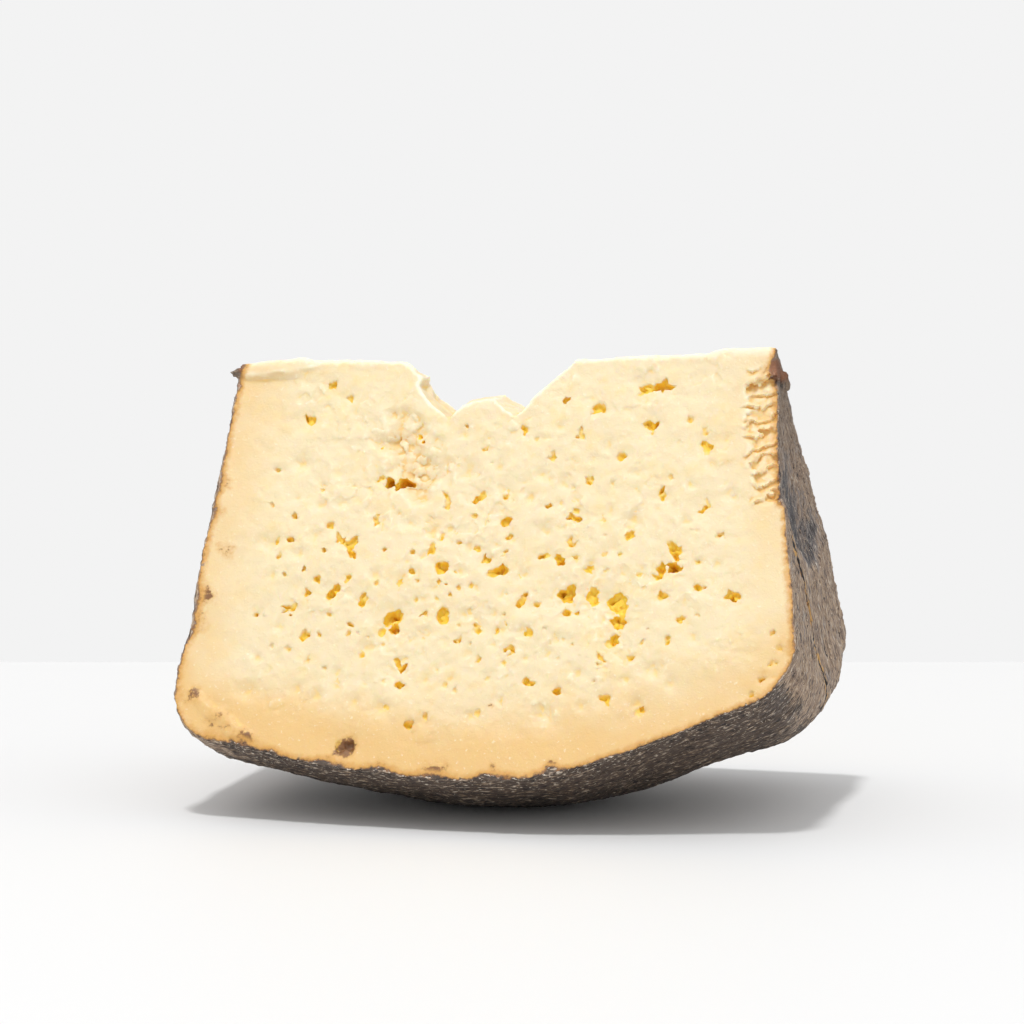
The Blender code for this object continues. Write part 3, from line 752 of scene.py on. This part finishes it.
def measure_skin(piece):
    """Where each point of the skin is: its place in the wheel, how far it is from the rind and from
    the nearest cut, and how hollow the skin is there."""
    points = get_points(piece)
    x, y, z = points.T
    radius, angle = np.hypot(y, z), np.arctan2(-y, -z)
    w = np.clip(angle / CUT_HALF_ANGLE, -1, 1)
    side = np.where(x < 0, LEFT, RIGHT)
    stand_out = swell(points)
    heel = heel_radius(np.clip(x, -RIM_HALF_HEIGHT, RIM_HALF_HEIGHT), w) + HEEL_LEAN * x * (1 - w * w)
    under_heel = heel + stand_out - radius
    under_flat = half_height(side, radius) + stand_out * smooth_step(radius / FOLD_RADIUS) - abs(x)
    under_flat -= fold_relief(radius, angle) * (side == RIGHT)
    corner = into_corner(x)
    under_heel /= np.hypot(1, corner / np.sqrt(1.01 - corner ** 2))
    smoothed = neighbour_smooth(points, get_edges(piece), HOLLOW_ROUNDS)
    normals = get_normals(piece)
    facing = np.maximum(normals @ cut_normal(FRONT), normals @ cut_normal(BACK))
    off_cut = 1 - smooth_step((facing - 0.2) / 0.3)
    below = np.minimum(under_heel, under_flat) - RIND_WHERE_TURNED * off_cut
    profile = np.where(x > 0, radius - x, 2 * BELLY_RADIUS - radius - x)
    by_flat = WARM_AT_FLAT * smooth_step(1 - under_flat / WARM_AT_FLAT_DEPTH)
    warmth = np.maximum(smooth_step(1 - under_heel / WARM_OVER_HEEL), by_flat)
    warmth *= 1 - PALER_RIGHT * smooth_step((x - PALER_FROM) / (PALER_TO - PALER_FROM))
    return {
        "points": points,
        "smoothed": smoothed,
        "normals": normals,
        "radius": radius,
        "angle": angle,
        "under_flat": under_flat,
        "below_rind": below,
        "paste": smooth_step((below - PASTE_BEGINS[0]) / (PASTE_BEGINS[1] - PASTE_BEGINS[0])),
        "warmth": warmth,
        "depth": np.where(angle > 0, cut_depth(points, FRONT), cut_depth(points, BACK)),
        "hollow": np.sum((smoothed - points) * normals, axis=1) / HOLLOW_FULL,
        "grain": np.stack([profile, angle * RADIUS_FOR_GRAIN + below, x * 0], axis=1),
    }


def torn_strip(skin):
    """How strongly each point belongs to the torn strip."""
    points, radius = skin["points"], skin["radius"]
    inner = TORN_WIDTH * (1 + 0.4 * lattice_noise(points / (3.2 * MM), seed=31)) - skin["under_flat"]
    shows = smooth_step(inner / TORN_FADE) * (points[:, 0] > 0) * (skin["normals"] @ cut_normal(FRONT) > 0)
    first, last = TORN_RADII
    return shows * smooth_step((radius - first) / TORN_FADE) * smooth_step((last - radius) / MM)


def torn_ledges(skin):
    """The height of the ledges that the knife dragged out of the torn strip, one over the next."""
    points = skin["points"]
    wander = sum(
        share * lattice_noise(points / length, seed=32 + number)
        for number, (share, length) in enumerate(LEDGE_WANDERS)
    )
    down = skin["radius"] / LEDGE_HEIGHT + wander - skin["under_flat"] / LEDGE_SLANT
    rise = down - np.floor(down)
    uneven = 1 + 0.6 * lattice_noise(points / (2.5 * MM), seed=37)
    return LEDGE_STEP * (rise ** LEDGE_STEEPNESS - LEDGE_SUNK) * uneven


def eye_dishes(skin):
    """How far the paste sinks round its eyes, where curds have come loose, and in its dents."""
    total = np.zeros(len(skin["radius"]))
    ragged = 0.3 * lattice_noise(skin["points"] / (1.2 * MM), seed=34)
    for side, (x, radius, width, height), depth in place_eyes():
        dent = depth == DENT_DEPTH
        reach, share = (DENT_DISH_REACH, DENT_DISH_DEPTH) if dent else (DISH_REACH, DISH_DEPTH)
        aside = (skin["points"][:, 0] - x) / (reach * width)
        down = (skin["radius"] - radius + 0.1 * height) / (reach * height)
        near = np.flatnonzero((abs(aside) < 2) & (abs(down) < 2) & (skin["angle"] * side > 0))
        away = np.hypot(aside[near], down[near]) + ragged[near]
        total[near] += share * min(width, height) * np.exp(-away ** 2)
    return total


def scoop(skin):
    """How strongly each point belongs to the hollow torn beside the gap."""
    aside, down = skin["points"][:, 0] - SCOOP_PLACE[0], skin["radius"] - SCOOP_PLACE[1]
    across = (aside * math.cos(SCOOP_LEAN) + down * math.sin(SCOOP_LEAN)) / SCOOP_SIZE[0]
    along = (down * math.cos(SCOOP_LEAN) - aside * math.sin(SCOOP_LEAN)) / SCOOP_SIZE[1]
    ragged = 0.55 * lattice_noise(skin["points"] / (5 * MM), seed=35)
    inside = (1.25 - np.hypot(across, along) + ragged) / 0.9
    return smooth_step(inside) * (skin["angle"] > 0)


def roughen(skin):
    """The skin's points, moved in and out by its relief."""
    points, grain, paste = skin["points"], skin["grain"], skin["paste"]
    middle = smooth_step((skin["below_rind"] - 3 * MM) / SMOOTH_PASTE)
    open_face = smooth_step(1 - abs(skin["hollow"]))
    away, own = nearest_cells(points / CURD_SIZE, seed=3)
    patchy = smooth_step(0.4 + 1.4 * lattice_noise(points / (11 * MM), seed=4))
    on_paste = CURD_STEP * (own[:, 0] - 0.8 * away) * middle * patchy * open_face
    for number, (length, height) in enumerate(PASTE_WAVES):
        on_paste += height * lattice_noise(points / length, seed=5 + number) * (0.25 + middle)
    on_paste -= eye_dishes(skin)
    torn, scooped = torn_strip(skin), scoop(skin)
    on_paste += torn_ledges(skin) * torn
    away, own = nearest_cells(points / SCOOP_CRUMB, seed=36)
    on_paste += scooped * (SCOOP_CRUMB_STEP * (own[:, 0] - away) - SCOOP_DEPTH)
    stretched = grain / np.array((GRAIN_LENGTH, GRAIN_WIDTH, 1))
    folds = 1 - abs(lattice_noise(stretched, seed=8)) * 2
    finer = lattice_noise(stretched * 2.3, seed=9)
    pebbles = lattice_noise(points / (1.7 * MM), seed=10)
    on_rind = WRINKLE_HEIGHT * (folds * 0.6 + finer * 0.5 - 0.3) + PEBBLE_HEIGHT * pebbles
    height = on_paste * paste + on_rind * (1 - paste)
    at_edge = smooth_step(1 - skin["radius"] / EDGE_ROUND_RADIUS)[:, None]
    rounded = points + (skin["smoothed"] - points + np.array((0, 0, EDGE_ROUND_LIFT))) * at_edge
    return rounded + skin["normals"] * height[:, None]


def keep_numbers(piece, name, values):
    vector = values.ndim == 2
    kind = "FLOAT_VECTOR" if vector else "FLOAT"
    attribute = piece.data.attributes.new(name, kind, "POINT")
    attribute.data.foreach_set("vector" if vector else "value", values.astype(np.float32).ravel())


def find_crevices(piece, radius):
    """How low each point lies in the relief round it; the top edge counts as standing proud, so that it takes
    the painted highlight of the crests.
    """
    points = get_points(piece)
    smoothed = neighbour_smooth(points, get_edges(piece), CREVICE_ROUNDS)
    low = np.sum((smoothed - points) * get_normals(piece), axis=1) / CREVICE_FULL
    # Painted highlight: near the top edge the number is lowered, so the colours pale it.
    return np.clip(low - 1.5 * smooth_step(1 - radius / HIGHLIGHT_EDGE), -2, 3)


def work_relief(piece):
    skin = measure_skin(piece)
    set_points(piece, roughen(skin))
    keep_numbers(piece, "hollow", np.clip(skin["hollow"], -1, 2))
    keep_numbers(piece, "torn", np.maximum(torn_strip(skin), SCOOP_TORN * scoop(skin)))
    keep_numbers(piece, "crevice", find_crevices(piece, skin["radius"]))


work_relief(body)


# The mesh is thinned, least on the front cut and the right flat face, and then the eyes are cut
# with crisp edges. Last come the numbers on the skin that its colours follow.

THINNING = (("front", 0.33), ("right", 0.33), ("rest", 0.1))
EYE_FACES = 40000
EYE_VOXEL = 0.18 * MM
SHARP_FROM = math.radians(75)
RIM_SMOOTHING = 2
STAINS_REACH_BACK = math.radians(-20)
SOOT_RAGGED, SOOT_BEGINS = (3 * MM, 5 * MM), 4 * MM
SOOT_DARKEST, SOOT_REACH, SOOT_SHARES = 3 * MM, 14 * MM, (0.2, 0.65)
# Where the painted shade on the heel's rind lies.
HEEL_SHADE_RADIUS, HEEL_SHADE_RADIUS_FADE = 72 * MM, 10 * MM
HEEL_SHADE_MIDDLE, HEEL_SHADE_REACH, HEEL_SHADE_FADE = 4 * MM, 75 * MM, 24 * MM
STAINS = (
    (-28.3, 92.8, 2.9, 1.5), (17.3, 96.5, 1.4, 1.1), (3, 83, 0.9, 1.1), (-61.5, 3, 1.6, 1.2),
    (-62, 7, 1.0, 1.0), (58.8, 4.8, 2.4, 0.75), (61.8, 4.5, 2.6, 1.2), (-64, 81, 3.2, 0.95),
    (-58, 87, 3.6, 0.9), (-51.5, 91, 3.2, 0.95), (62, 76, 3.5, 0.5), (66, 70, 2.5, 0.6),
    (-61, 47, 3, 0.9), (-64, 58, 3.5, 1.0), (-65.5, 65, 3.0, 1.0), (-63, 31, 2.4, 0.9),
    (-63, 38, 2, 0.8), (-45, 94, 2.5, 0.8), (-33, 97, 3.0, 1.0), (-20, 98.5, 3.5, 1.1),
    (-8, 99, 4.0, 1.2), (5, 100, 4.5, 1.1), (18, 99, 3.5, 0.9), (30, 97, 3.0, 0.7), (62.5, 36, 1.6, 0.9),
)


def count_triangles(piece):
    piece.data.calc_loop_triangles()
    return len(piece.data.loop_triangles)


def thin_region(piece, region, share):
    """Leaves a share of a region's triangles, and hardly touches the rest of the skin."""
    normals = get_normals(piece)
    front = normals @ cut_normal(FRONT) > 0.5
    right = (normals[:, 0] > 0.45) & ~front
    chosen = {"front": front, "right": right, "rest": ~front & ~right}[region]
    total = count_triangles(piece)
    corners = np.empty(total * 3, np.int32)
    piece.data.loop_triangles.foreach_get("vertices", corners)
    inside = chosen[corners.reshape(-1, 3)].all(axis=1).sum()
    group = piece.vertex_groups.new(name=region)
    group.add(np.flatnonzero(chosen).tolist(), 1.0, "REPLACE")
    kept = 1 - (1 - share) * float(inside) / total
    apply_modifier(piece, "DECIMATE", vertex_group=region, ratio=kept, use_collapse_triangulate=True)
    piece.vertex_groups.clear()


def open_eyes(piece):
    eyes = make_eyes()
    remesh(eyes, EYE_VOXEL)
    make_ragged(eyes)
    share = EYE_FACES / count_triangles(eyes)
    apply_modifier(eyes, "DECIMATE", ratio=share, use_collapse_triangulate=True)
    keep_numbers(eyes, "eye", np.ones(len(eyes.data.vertices)))
    cut_away(piece, eyes)


def get_numbers(piece, name):
    values = np.empty(len(piece.data.vertices), np.float32)
    piece.data.attributes[name].data.foreach_get("value", values)
    return values


def soften_rims(piece):
    """Rounds the brittle edges of the eyes a little."""
    edges = get_edges(piece)
    eye, points = get_numbers(piece, "eye"), get_points(piece)
    ends = eye[edges]
    rim = np.zeros(len(points), bool)
    rim[edges[abs(ends[:, 0] - ends[:, 1]) > 0.02].ravel()] = True
    smoothed = neighbour_smooth(points, edges, RIM_SMOOTHING)
    set_points(piece, np.where(rim[:, None], smoothed, points))


def stains(skin):
    """The brown of mould and old rind on the front cut."""
    total = np.zeros(len(skin["radius"]))
    for x, radius, size, strength in STAINS:
        away = np.hypot(skin["points"][:, 0] - x * MM, skin["radius"] - radius * MM) / (size * MM)
        total += strength * np.exp(-away * away)
    return total * (skin["angle"] > STAINS_REACH_BACK)


def soot(skin):
    """How black the rind of the right flat face is: most of all just above its fold."""
    height, length = SOOT_RAGGED
    ragged = height * lattice_noise(skin["points"] / length, seed=38)
    above_fold = FOLD_RADIUS - FOLD_SLANT * skin["angle"] - skin["radius"] + ragged
    above = smooth_step(above_fold / SOOT_BEGINS) * (skin["points"][:, 0] > 0)
    to_front = smooth_step((skin["angle"] + CUT_HALF_ANGLE) / CUT_HALF_ANGLE)
    all_over, at_fold = SOOT_SHARES
    near_fold = np.exp(-((above_fold - SOOT_DARKEST) / SOOT_REACH) ** 2)
    return above * (all_over + at_fold * to_front * near_fold)


def heel_shade(skin):
    """Painted shade on the rind of the heel, where it faces the table: darkest under its middle."""
    off_middle = abs(skin["points"][:, 0] - HEEL_SHADE_MIDDLE)
    on_heel = smooth_step((skin["radius"] - HEEL_SHADE_RADIUS) / HEEL_SHADE_RADIUS_FADE)
    return on_heel * smooth_step((HEEL_SHADE_REACH - off_middle) / HEEL_SHADE_FADE)


def near_crack(skin):
    """1 in the crack of the right flat face, falling to 0 beside it."""
    places = skin["points"][:, 1:]
    path = [in_wheel(np.array(0.0), r * MM, math.radians(degrees))[1:] for degrees, r in CRACK_PATH]
    nearest = np.full(len(places), 1.0)
    for start, end in zip(path, path[1:]):
        along = np.clip((places - start) @ (end - start) / np.sum((end - start) ** 2), 0, 1)
        away = np.linalg.norm(places - start - along[:, None] * (end - start), axis=1)
        nearest = np.minimum(nearest, away)
    return np.exp(-(nearest / CRACK_WIDTH) ** 2) * (skin["points"][:, 0] > 50 * MM)


def finish_skin(piece):
    """Writes on the skin what its colours follow, and sets the wheel down on its heel."""
    skin = measure_skin(piece)
    for name in ("paste", "warmth"):
        keep_numbers(piece, name, skin[name])
    off_edge = np.maximum(smooth_step((skin["radius"] - NOTCH_ROOM) / (5 * MM)), get_numbers(piece, "eye"))
    skin["depth"] = skin["depth"] * off_edge
    for name in ("below_rind", "depth", "grain"):
        keep_numbers(piece, name, skin[name] / MM)
    for name, measure in (("stain", stains), ("soot", soot), ("heel_shade", heel_shade), ("crack", near_crack)):
        keep_numbers(piece, name, measure(skin))
    matrix = np.array(WHEEL_TO_PART)
    placed = skin["points"] @ matrix[:3, :3].T + matrix[:3, 3]
    placed[:, 2] = np.maximum(placed[:, 2], 0)
    set_points(piece, placed)
    choose(piece)
    bpy.ops.object.shade_smooth_by_angle(angle=SHARP_FROM)


for region, share in THINNING:
    thin_region(body, region, share)
open_eyes(body)
soften_rims(body)
finish_skin(body)


# The cheese: cream paste, deeper and more orange towards the rind, golden in its eyes, and a rind
# of dried grey-brown bark with a thin rust-brown line where it meets the paste. Painted shade tints
# the paste's hollows, creases and deep eyes, and darkens the rind in its crevices, its crack, near
# the table and under the heel; painted highlight pales the crests and the top edge.

PASTE_CREAM = (0.825, 0.695, 0.45, 1)
PASTE_WARM = (0.775, 0.52, 0.215, 1)
PASTE_YELLOW = (0.86, 0.66, 0.31, 1)
# The paste's palest cream, also used as painted highlight on crests and the top edge.
PASTE_PALE_AND_HIGHLIGHT = (0.92, 0.87, 0.70, 1)
# Yellow of shallow eyes, also used as painted shade in hollows and crevices.
EYE_YELLOW_AND_SHADE = (0.93, 0.65, 0.20, 1)
# Gold of the eyes, also used as painted shade where the paste lies deep.
EYE_GOLD_AND_SHADE = (0.94, 0.62, 0.06, 1)
# Dark amber of painted shade at the bottom of the deep eyes.
EYE_DEEP_SHADE = (0.80, 0.38, 0.012, 1)
# Tan of the torn paste, also used as painted shade in its creases.
TORN_TAN_AND_SHADE = (0.80, 0.50, 0.17, 1)
RIM_GOLD = (0.66, 0.36, 0.09, 1)
RIM_BROWN = (0.24, 0.11, 0.04, 1)
RIND_TAN = (0.47, 0.335, 0.22, 1)
RIND_BROWN = (0.23, 0.155, 0.11, 1)
RIND_BLUE = (0.16, 0.165, 0.20, 1)
RIND_SOOT = (0.035, 0.037, 0.046, 1)
# Near-black of the painted shade on the heel.
RIND_HEEL_SHADE = (0.045, 0.028, 0.02, 1)
RIND_DARK = (0.012, 0.009, 0.009, 1)
RIND_PALE = (0.72, 0.64, 0.53, 1)
RUST = (0.36, 0.13, 0.05, 1)
BLOTCH_SIZE, MOTTLE_SIZE, CRUMB_SIZE = 9 * MM, 2.6 * MM, 0.8 * MM
FIBRE_STRETCH, FLECK_STRETCH = (0.2, 1.0, 1.0), (0.45, 1.0, 1.0)
FIBRE_SIZE, STRAND_SIZE, FLECK_SIZE = 0.5, 1.4, 0.55
SCATTER_SHARE, SCATTER_COLOUR, SCATTER_LENGTH = 0.55, (1.0, 0.62, 0.22), 1.3 * MM


class Wired:
    """A socket of the material's node tree, on which sums are written as on a number."""

    def __init__(self, nodes, socket):
        self.nodes, self.socket = nodes, socket

    def math(self, operation, *values):
        return self.nodes.node("ShaderNodeMath", {"operation": operation}, dict(enumerate(values)))

    def __add__(self, other):
        return self.math("ADD", self, other)

    def __radd__(self, other):
        return self.math("ADD", other, self)

    def __sub__(self, other):
        return self.math("SUBTRACT", self, other)

    def __rsub__(self, other):
        return self.math("SUBTRACT", other, self)

    def __mul__(self, other):
        return self.math("MULTIPLY", self, other)

    def __rmul__(self, other):
        return self.math("MULTIPLY", other, self)

    def __truediv__(self, other):
        return self.math("DIVIDE", self, other)

    def between(self, low, high):
        """0 at low and below, 1 at high and above, with soft ends."""
        settings = {"interpolation_type": "SMOOTHSTEP"}
        values = {"Value": self, "From Min": low, "From Max": high}
        return self.nodes.node("ShaderNodeMapRange", settings, values)

    def at_most(self, other):
        return self.math("MINIMUM", self, other)


class Nodes:
    """A material's node tree. Its one method adds a node of any type."""

    def __init__(self, name):
        self.material = bpy.data.materials.new(name)
        self.material.use_nodes = True
        self.tree = self.material.node_tree
        self.tree.nodes.clear()

    def node(self, kind, settings=None, values=None, output=0):
        made = self.tree.nodes.new(kind)
        for name, value in (settings or {}).items():
            setattr(made, name, value)
        for name, value in (values or {}).items():
            socket = made.inputs[name]
            if isinstance(value, Wired):
                self.tree.links.new(value.socket, socket)
            else:
                socket.default_value = value
        return None if output is None else Wired(self, made.outputs[output])

    def mix(self, factor, low, high):
        """Colour low where the factor is 0, and high where it is 1."""
        settings = {"data_type": "RGBA", "clamp_factor": True}
        return self.node("ShaderNodeMix", settings, {0: factor, 6: low, 7: high}, output=2)

    def attribute(self, name, output="Fac"):
        return self.node("ShaderNodeAttribute", {"attribute_name": name}, output=output)

    def grain(self, place, size, detail=3.0, roughness=0.55):
        """Noise of a size in metres, about 0 to 1."""
        values = {"Vector": place, "Scale": 1 / size, "Detail": detail, "Roughness": roughness}
        return self.node("ShaderNodeTexNoise", {"noise_dimensions": "3D"}, values)


def cheese_material():
    n = Nodes("pecorino")
    here = n.node("ShaderNodeTexCoord", output="Object")
    paste, below, depth, eye, hollow, torn, crevice, stain, soot, heel_shade, crack = (
        n.attribute(name) for name in (
            "paste", "below_rind", "depth", "eye", "hollow", "torn",
            "crevice", "stain", "soot", "heel_shade", "crack",
        )
    )
    along_grain = n.attribute("grain", output="Vector")
    fibres_at = n.node("ShaderNodeMapping", values={"Vector": along_grain, "Scale": FIBRE_STRETCH})

    blotch = n.grain(here, BLOTCH_SIZE)
    mottle = n.grain(here, MOTTLE_SIZE, detail=4)
    fine = n.grain(here, CRUMB_SIZE, detail=4)
    warm = (n.attribute("warmth") + (blotch - 0.5) * 0.5).between(0.1, 0.95)
    colour = n.mix(warm, PASTE_CREAM, PASTE_WARM)
    yellow = (blotch * 0.5 + mottle * 0.5).between(0.48, 0.68) * 0.55 * (1 - warm)
    colour = n.mix(yellow, colour, PASTE_YELLOW)
    # Pale crumbs of the paste, which also stand in for tiny painted highlights.
    colour = n.mix(fine.between(0.60, 0.76) * 0.45, colour, PASTE_PALE_AND_HIGHLIGHT)
    # Painted highlight: crests, raised relief and the top edge are paled, as where light catches them.
    raised = (0 - hollow).between(0.1, 0.8) * 0.4 + (0 - crevice).between(0.15, 1.3) * 0.5
    colour = n.mix(raised * (1 - torn * 0.75) * (1 - stain.between(0.1, 0.5)), colour, PASTE_PALE_AND_HIGHLIGHT)
    # Painted shade: the hollows and crevices of the relief are tinted warm yellow, as shade looks in the
    # translucent paste.
    hollow_shade = hollow.between(0.1, 0.9) * 0.5 + crevice.between(0.15, 1.4) * 0.65
    colour = n.mix(hollow_shade, colour, EYE_YELLOW_AND_SHADE)
    # Painted shade: points below the cut, in the scoop and the dents, turn yellow and then gold with depth.
    sunk = (depth + mottle - 0.5) * (1 - torn)
    colour = n.mix(sunk.between(0.7, 2.2) * 0.5, colour, EYE_YELLOW_AND_SHADE)
    colour = n.mix(sunk.between(2.4, 4.0) * 0.7, colour, EYE_GOLD_AND_SHADE)
    colour = n.mix(torn * mottle.between(0.38, 0.62) * 0.35, colour, TORN_TAN_AND_SHADE)
    # Painted shade: the torn strip's creases and hollows turn tan.
    colour = n.mix(torn * (hollow * 0.5 + crevice * 0.6).between(-0.1, 1.0) * 0.9, colour, TORN_TAN_AND_SHADE)
    # The eyes' own golden paste, with painted shade: they turn gold and then dark amber with depth.
    pit = eye.between(0.1, 0.6)
    deep = depth + (mottle - 0.5) * 1.2
    in_eye = n.mix(deep.between(0.4, 1.3), EYE_YELLOW_AND_SHADE, EYE_GOLD_AND_SHADE)
    in_eye = n.mix(deep.between(1.8, 3.4), in_eye, EYE_DEEP_SHADE)
    colour = n.mix(pit * (depth + fine * 0.3).between(0.2, 1.0), colour, in_eye)
    browning = stain + (mottle - 0.5) * 1.6 * stain.between(0, 0.4) + (fine - 0.5) * stain
    browning = browning.between(0.3, 1.25)
    colour = n.mix(browning, colour, RIM_GOLD)
    colour = n.mix(browning.between(0.45, 0.9), colour, RIM_BROWN)
    edge_noise = (n.grain(here, 1.7 * MM, detail=5, roughness=0.65) - 0.5) * 2.6
    rim = below + edge_noise - stain * 1.2
    colour = n.mix(1 - rim.between(0.5, 2.2), colour, RIM_GOLD)
    colour = n.mix(1 - rim.between(0.1, 0.8), colour, RIM_BROWN)

    fibre = n.grain(fibres_at, FIBRE_SIZE, detail=3, roughness=0.5)
    strand = n.grain(fibres_at, STRAND_SIZE, detail=4, roughness=0.6)
    flecks_at = n.node("ShaderNodeMapping", values={"Vector": along_grain, "Scale": FLECK_STRETCH})
    fleck = n.grain(flecks_at, FLECK_SIZE, detail=2)
    patch = n.grain(here, BLOTCH_SIZE, detail=3)
    tone = fibre + strand * 0.8 + fleck * 0.6 - 0.7
    rind = n.mix((tone + (patch - 0.5) * 0.5).between(0.36, 0.62), RIND_BROWN, RIND_TAN)
    rind = n.mix((strand * 0.6 + patch * 0.4 + soot * 0.1).between(0.53, 0.61) * 0.6, rind, RIND_BLUE)
    uneven = (patch - 0.5) * 2.2 - (tone - 0.5) * 1.2
    rind = n.mix((soot + uneven).between(0.3, 0.9) * 0.85, rind, RIND_SOOT)
    # Painted shade: the heel's rind goes near-black under its middle, with tan patches left in it.
    rind = n.mix((heel_shade + uneven).between(0.2, 0.8) * 0.88, rind, RIND_HEEL_SHADE)
    rind = n.mix((tone + (mottle - 0.5) * 0.4).between(0.56, 0.72) * heel_shade * 0.6, rind, RIND_TAN)
    # Painted shade: the rind darkens in its crevices.
    rind = n.mix(crevice.between(0.1, 1.6) * 0.85, rind, RIND_DARK)
    rind = n.mix(1 - tone.between(0.26, 0.42), rind, RIND_DARK)
    # Pale flecks of the rind; they fade a little in crevices, as painted shade.
    rind = n.mix((tone - crevice * 0.05).between(0.64, 0.78) * (0.75 - heel_shade * 0.3), rind, RIND_PALE)
    low = n.node("ShaderNodeSeparateXYZ", values={"Vector": here}, output="Z") / MM
    shade = 1 - (low + (tone - 0.5) * 20).between(-2.0, 9.0)
    rind = n.mix(shade * 0.9, rind, RIND_DARK)
    to_front = n.node("ShaderNodeSeparateXYZ", values={"Vector": along_grain}, output="Y").between(26.0, 39.0)
    rind = n.mix((fleck + heel_shade * to_front * 0.05).between(0.655, 0.70) * 0.85, rind, RIND_PALE)
    rind = n.mix(stain.between(0.3, 1.0) * low.between(75.0, 90.0) * 0.8, rind, RUST)
    # Painted shade: the rind darkens along the core of the crack.
    rind = n.mix((crack + (mottle - 0.5) * 0.4).between(0.55, 0.8), rind, RIND_DARK)
    lips = crack * (1 - crack) * 4 + (mottle - 0.5) * 2.4
    rind = n.mix(lips.between(0.8, 1.2) * 0.85, rind, RIM_GOLD)

    bark = fibre * 0.6 + strand * 0.4 + n.grain(here, CRUMB_SIZE, detail=3) * 0.3
    crumb = fine * 0.6 + n.grain(here, 0.4 * MM, detail=3) * 0.35 + mottle * 0.7
    paste_bump = n.node("ShaderNodeBump", values={"Strength": 0.4, "Distance": 0.25 * MM, "Height": crumb})
    rind_bump = n.node("ShaderNodeBump", values={"Strength": 1.0, "Distance": 0.8 * MM, "Height": bark})

    paste_shader = n.node("ShaderNodeBsdfPrincipled", {"subsurface_method": "RANDOM_WALK"}, {
        "Base Color": colour, "Roughness": 0.5, "Normal": paste_bump,
        "Subsurface Weight": SCATTER_SHARE, "Subsurface Radius": SCATTER_COLOUR,
        "Subsurface Scale": SCATTER_LENGTH,
    })
    rind_shader = n.node("ShaderNodeBsdfPrincipled", values={
        "Base Color": rind, "Roughness": 0.55, "Normal": rind_bump,
    })
    inside = (below + edge_noise * (0.5 + 1.4 * stain) - stain * 0.9).between(0.1, 0.45)
    mask = inside.at_most(paste.between(0.35, 0.65))
    both = n.node("ShaderNodeMixShader", values={0: mask, 1: rind_shader, 2: paste_shader})
    n.node("ShaderNodeOutputMaterial", values={"Surface": both}, output=None)
    return n.material


body.data.materials.clear()
body.data.materials.append(cheese_material())
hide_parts("pecorino_wedge")
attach(body, "root")
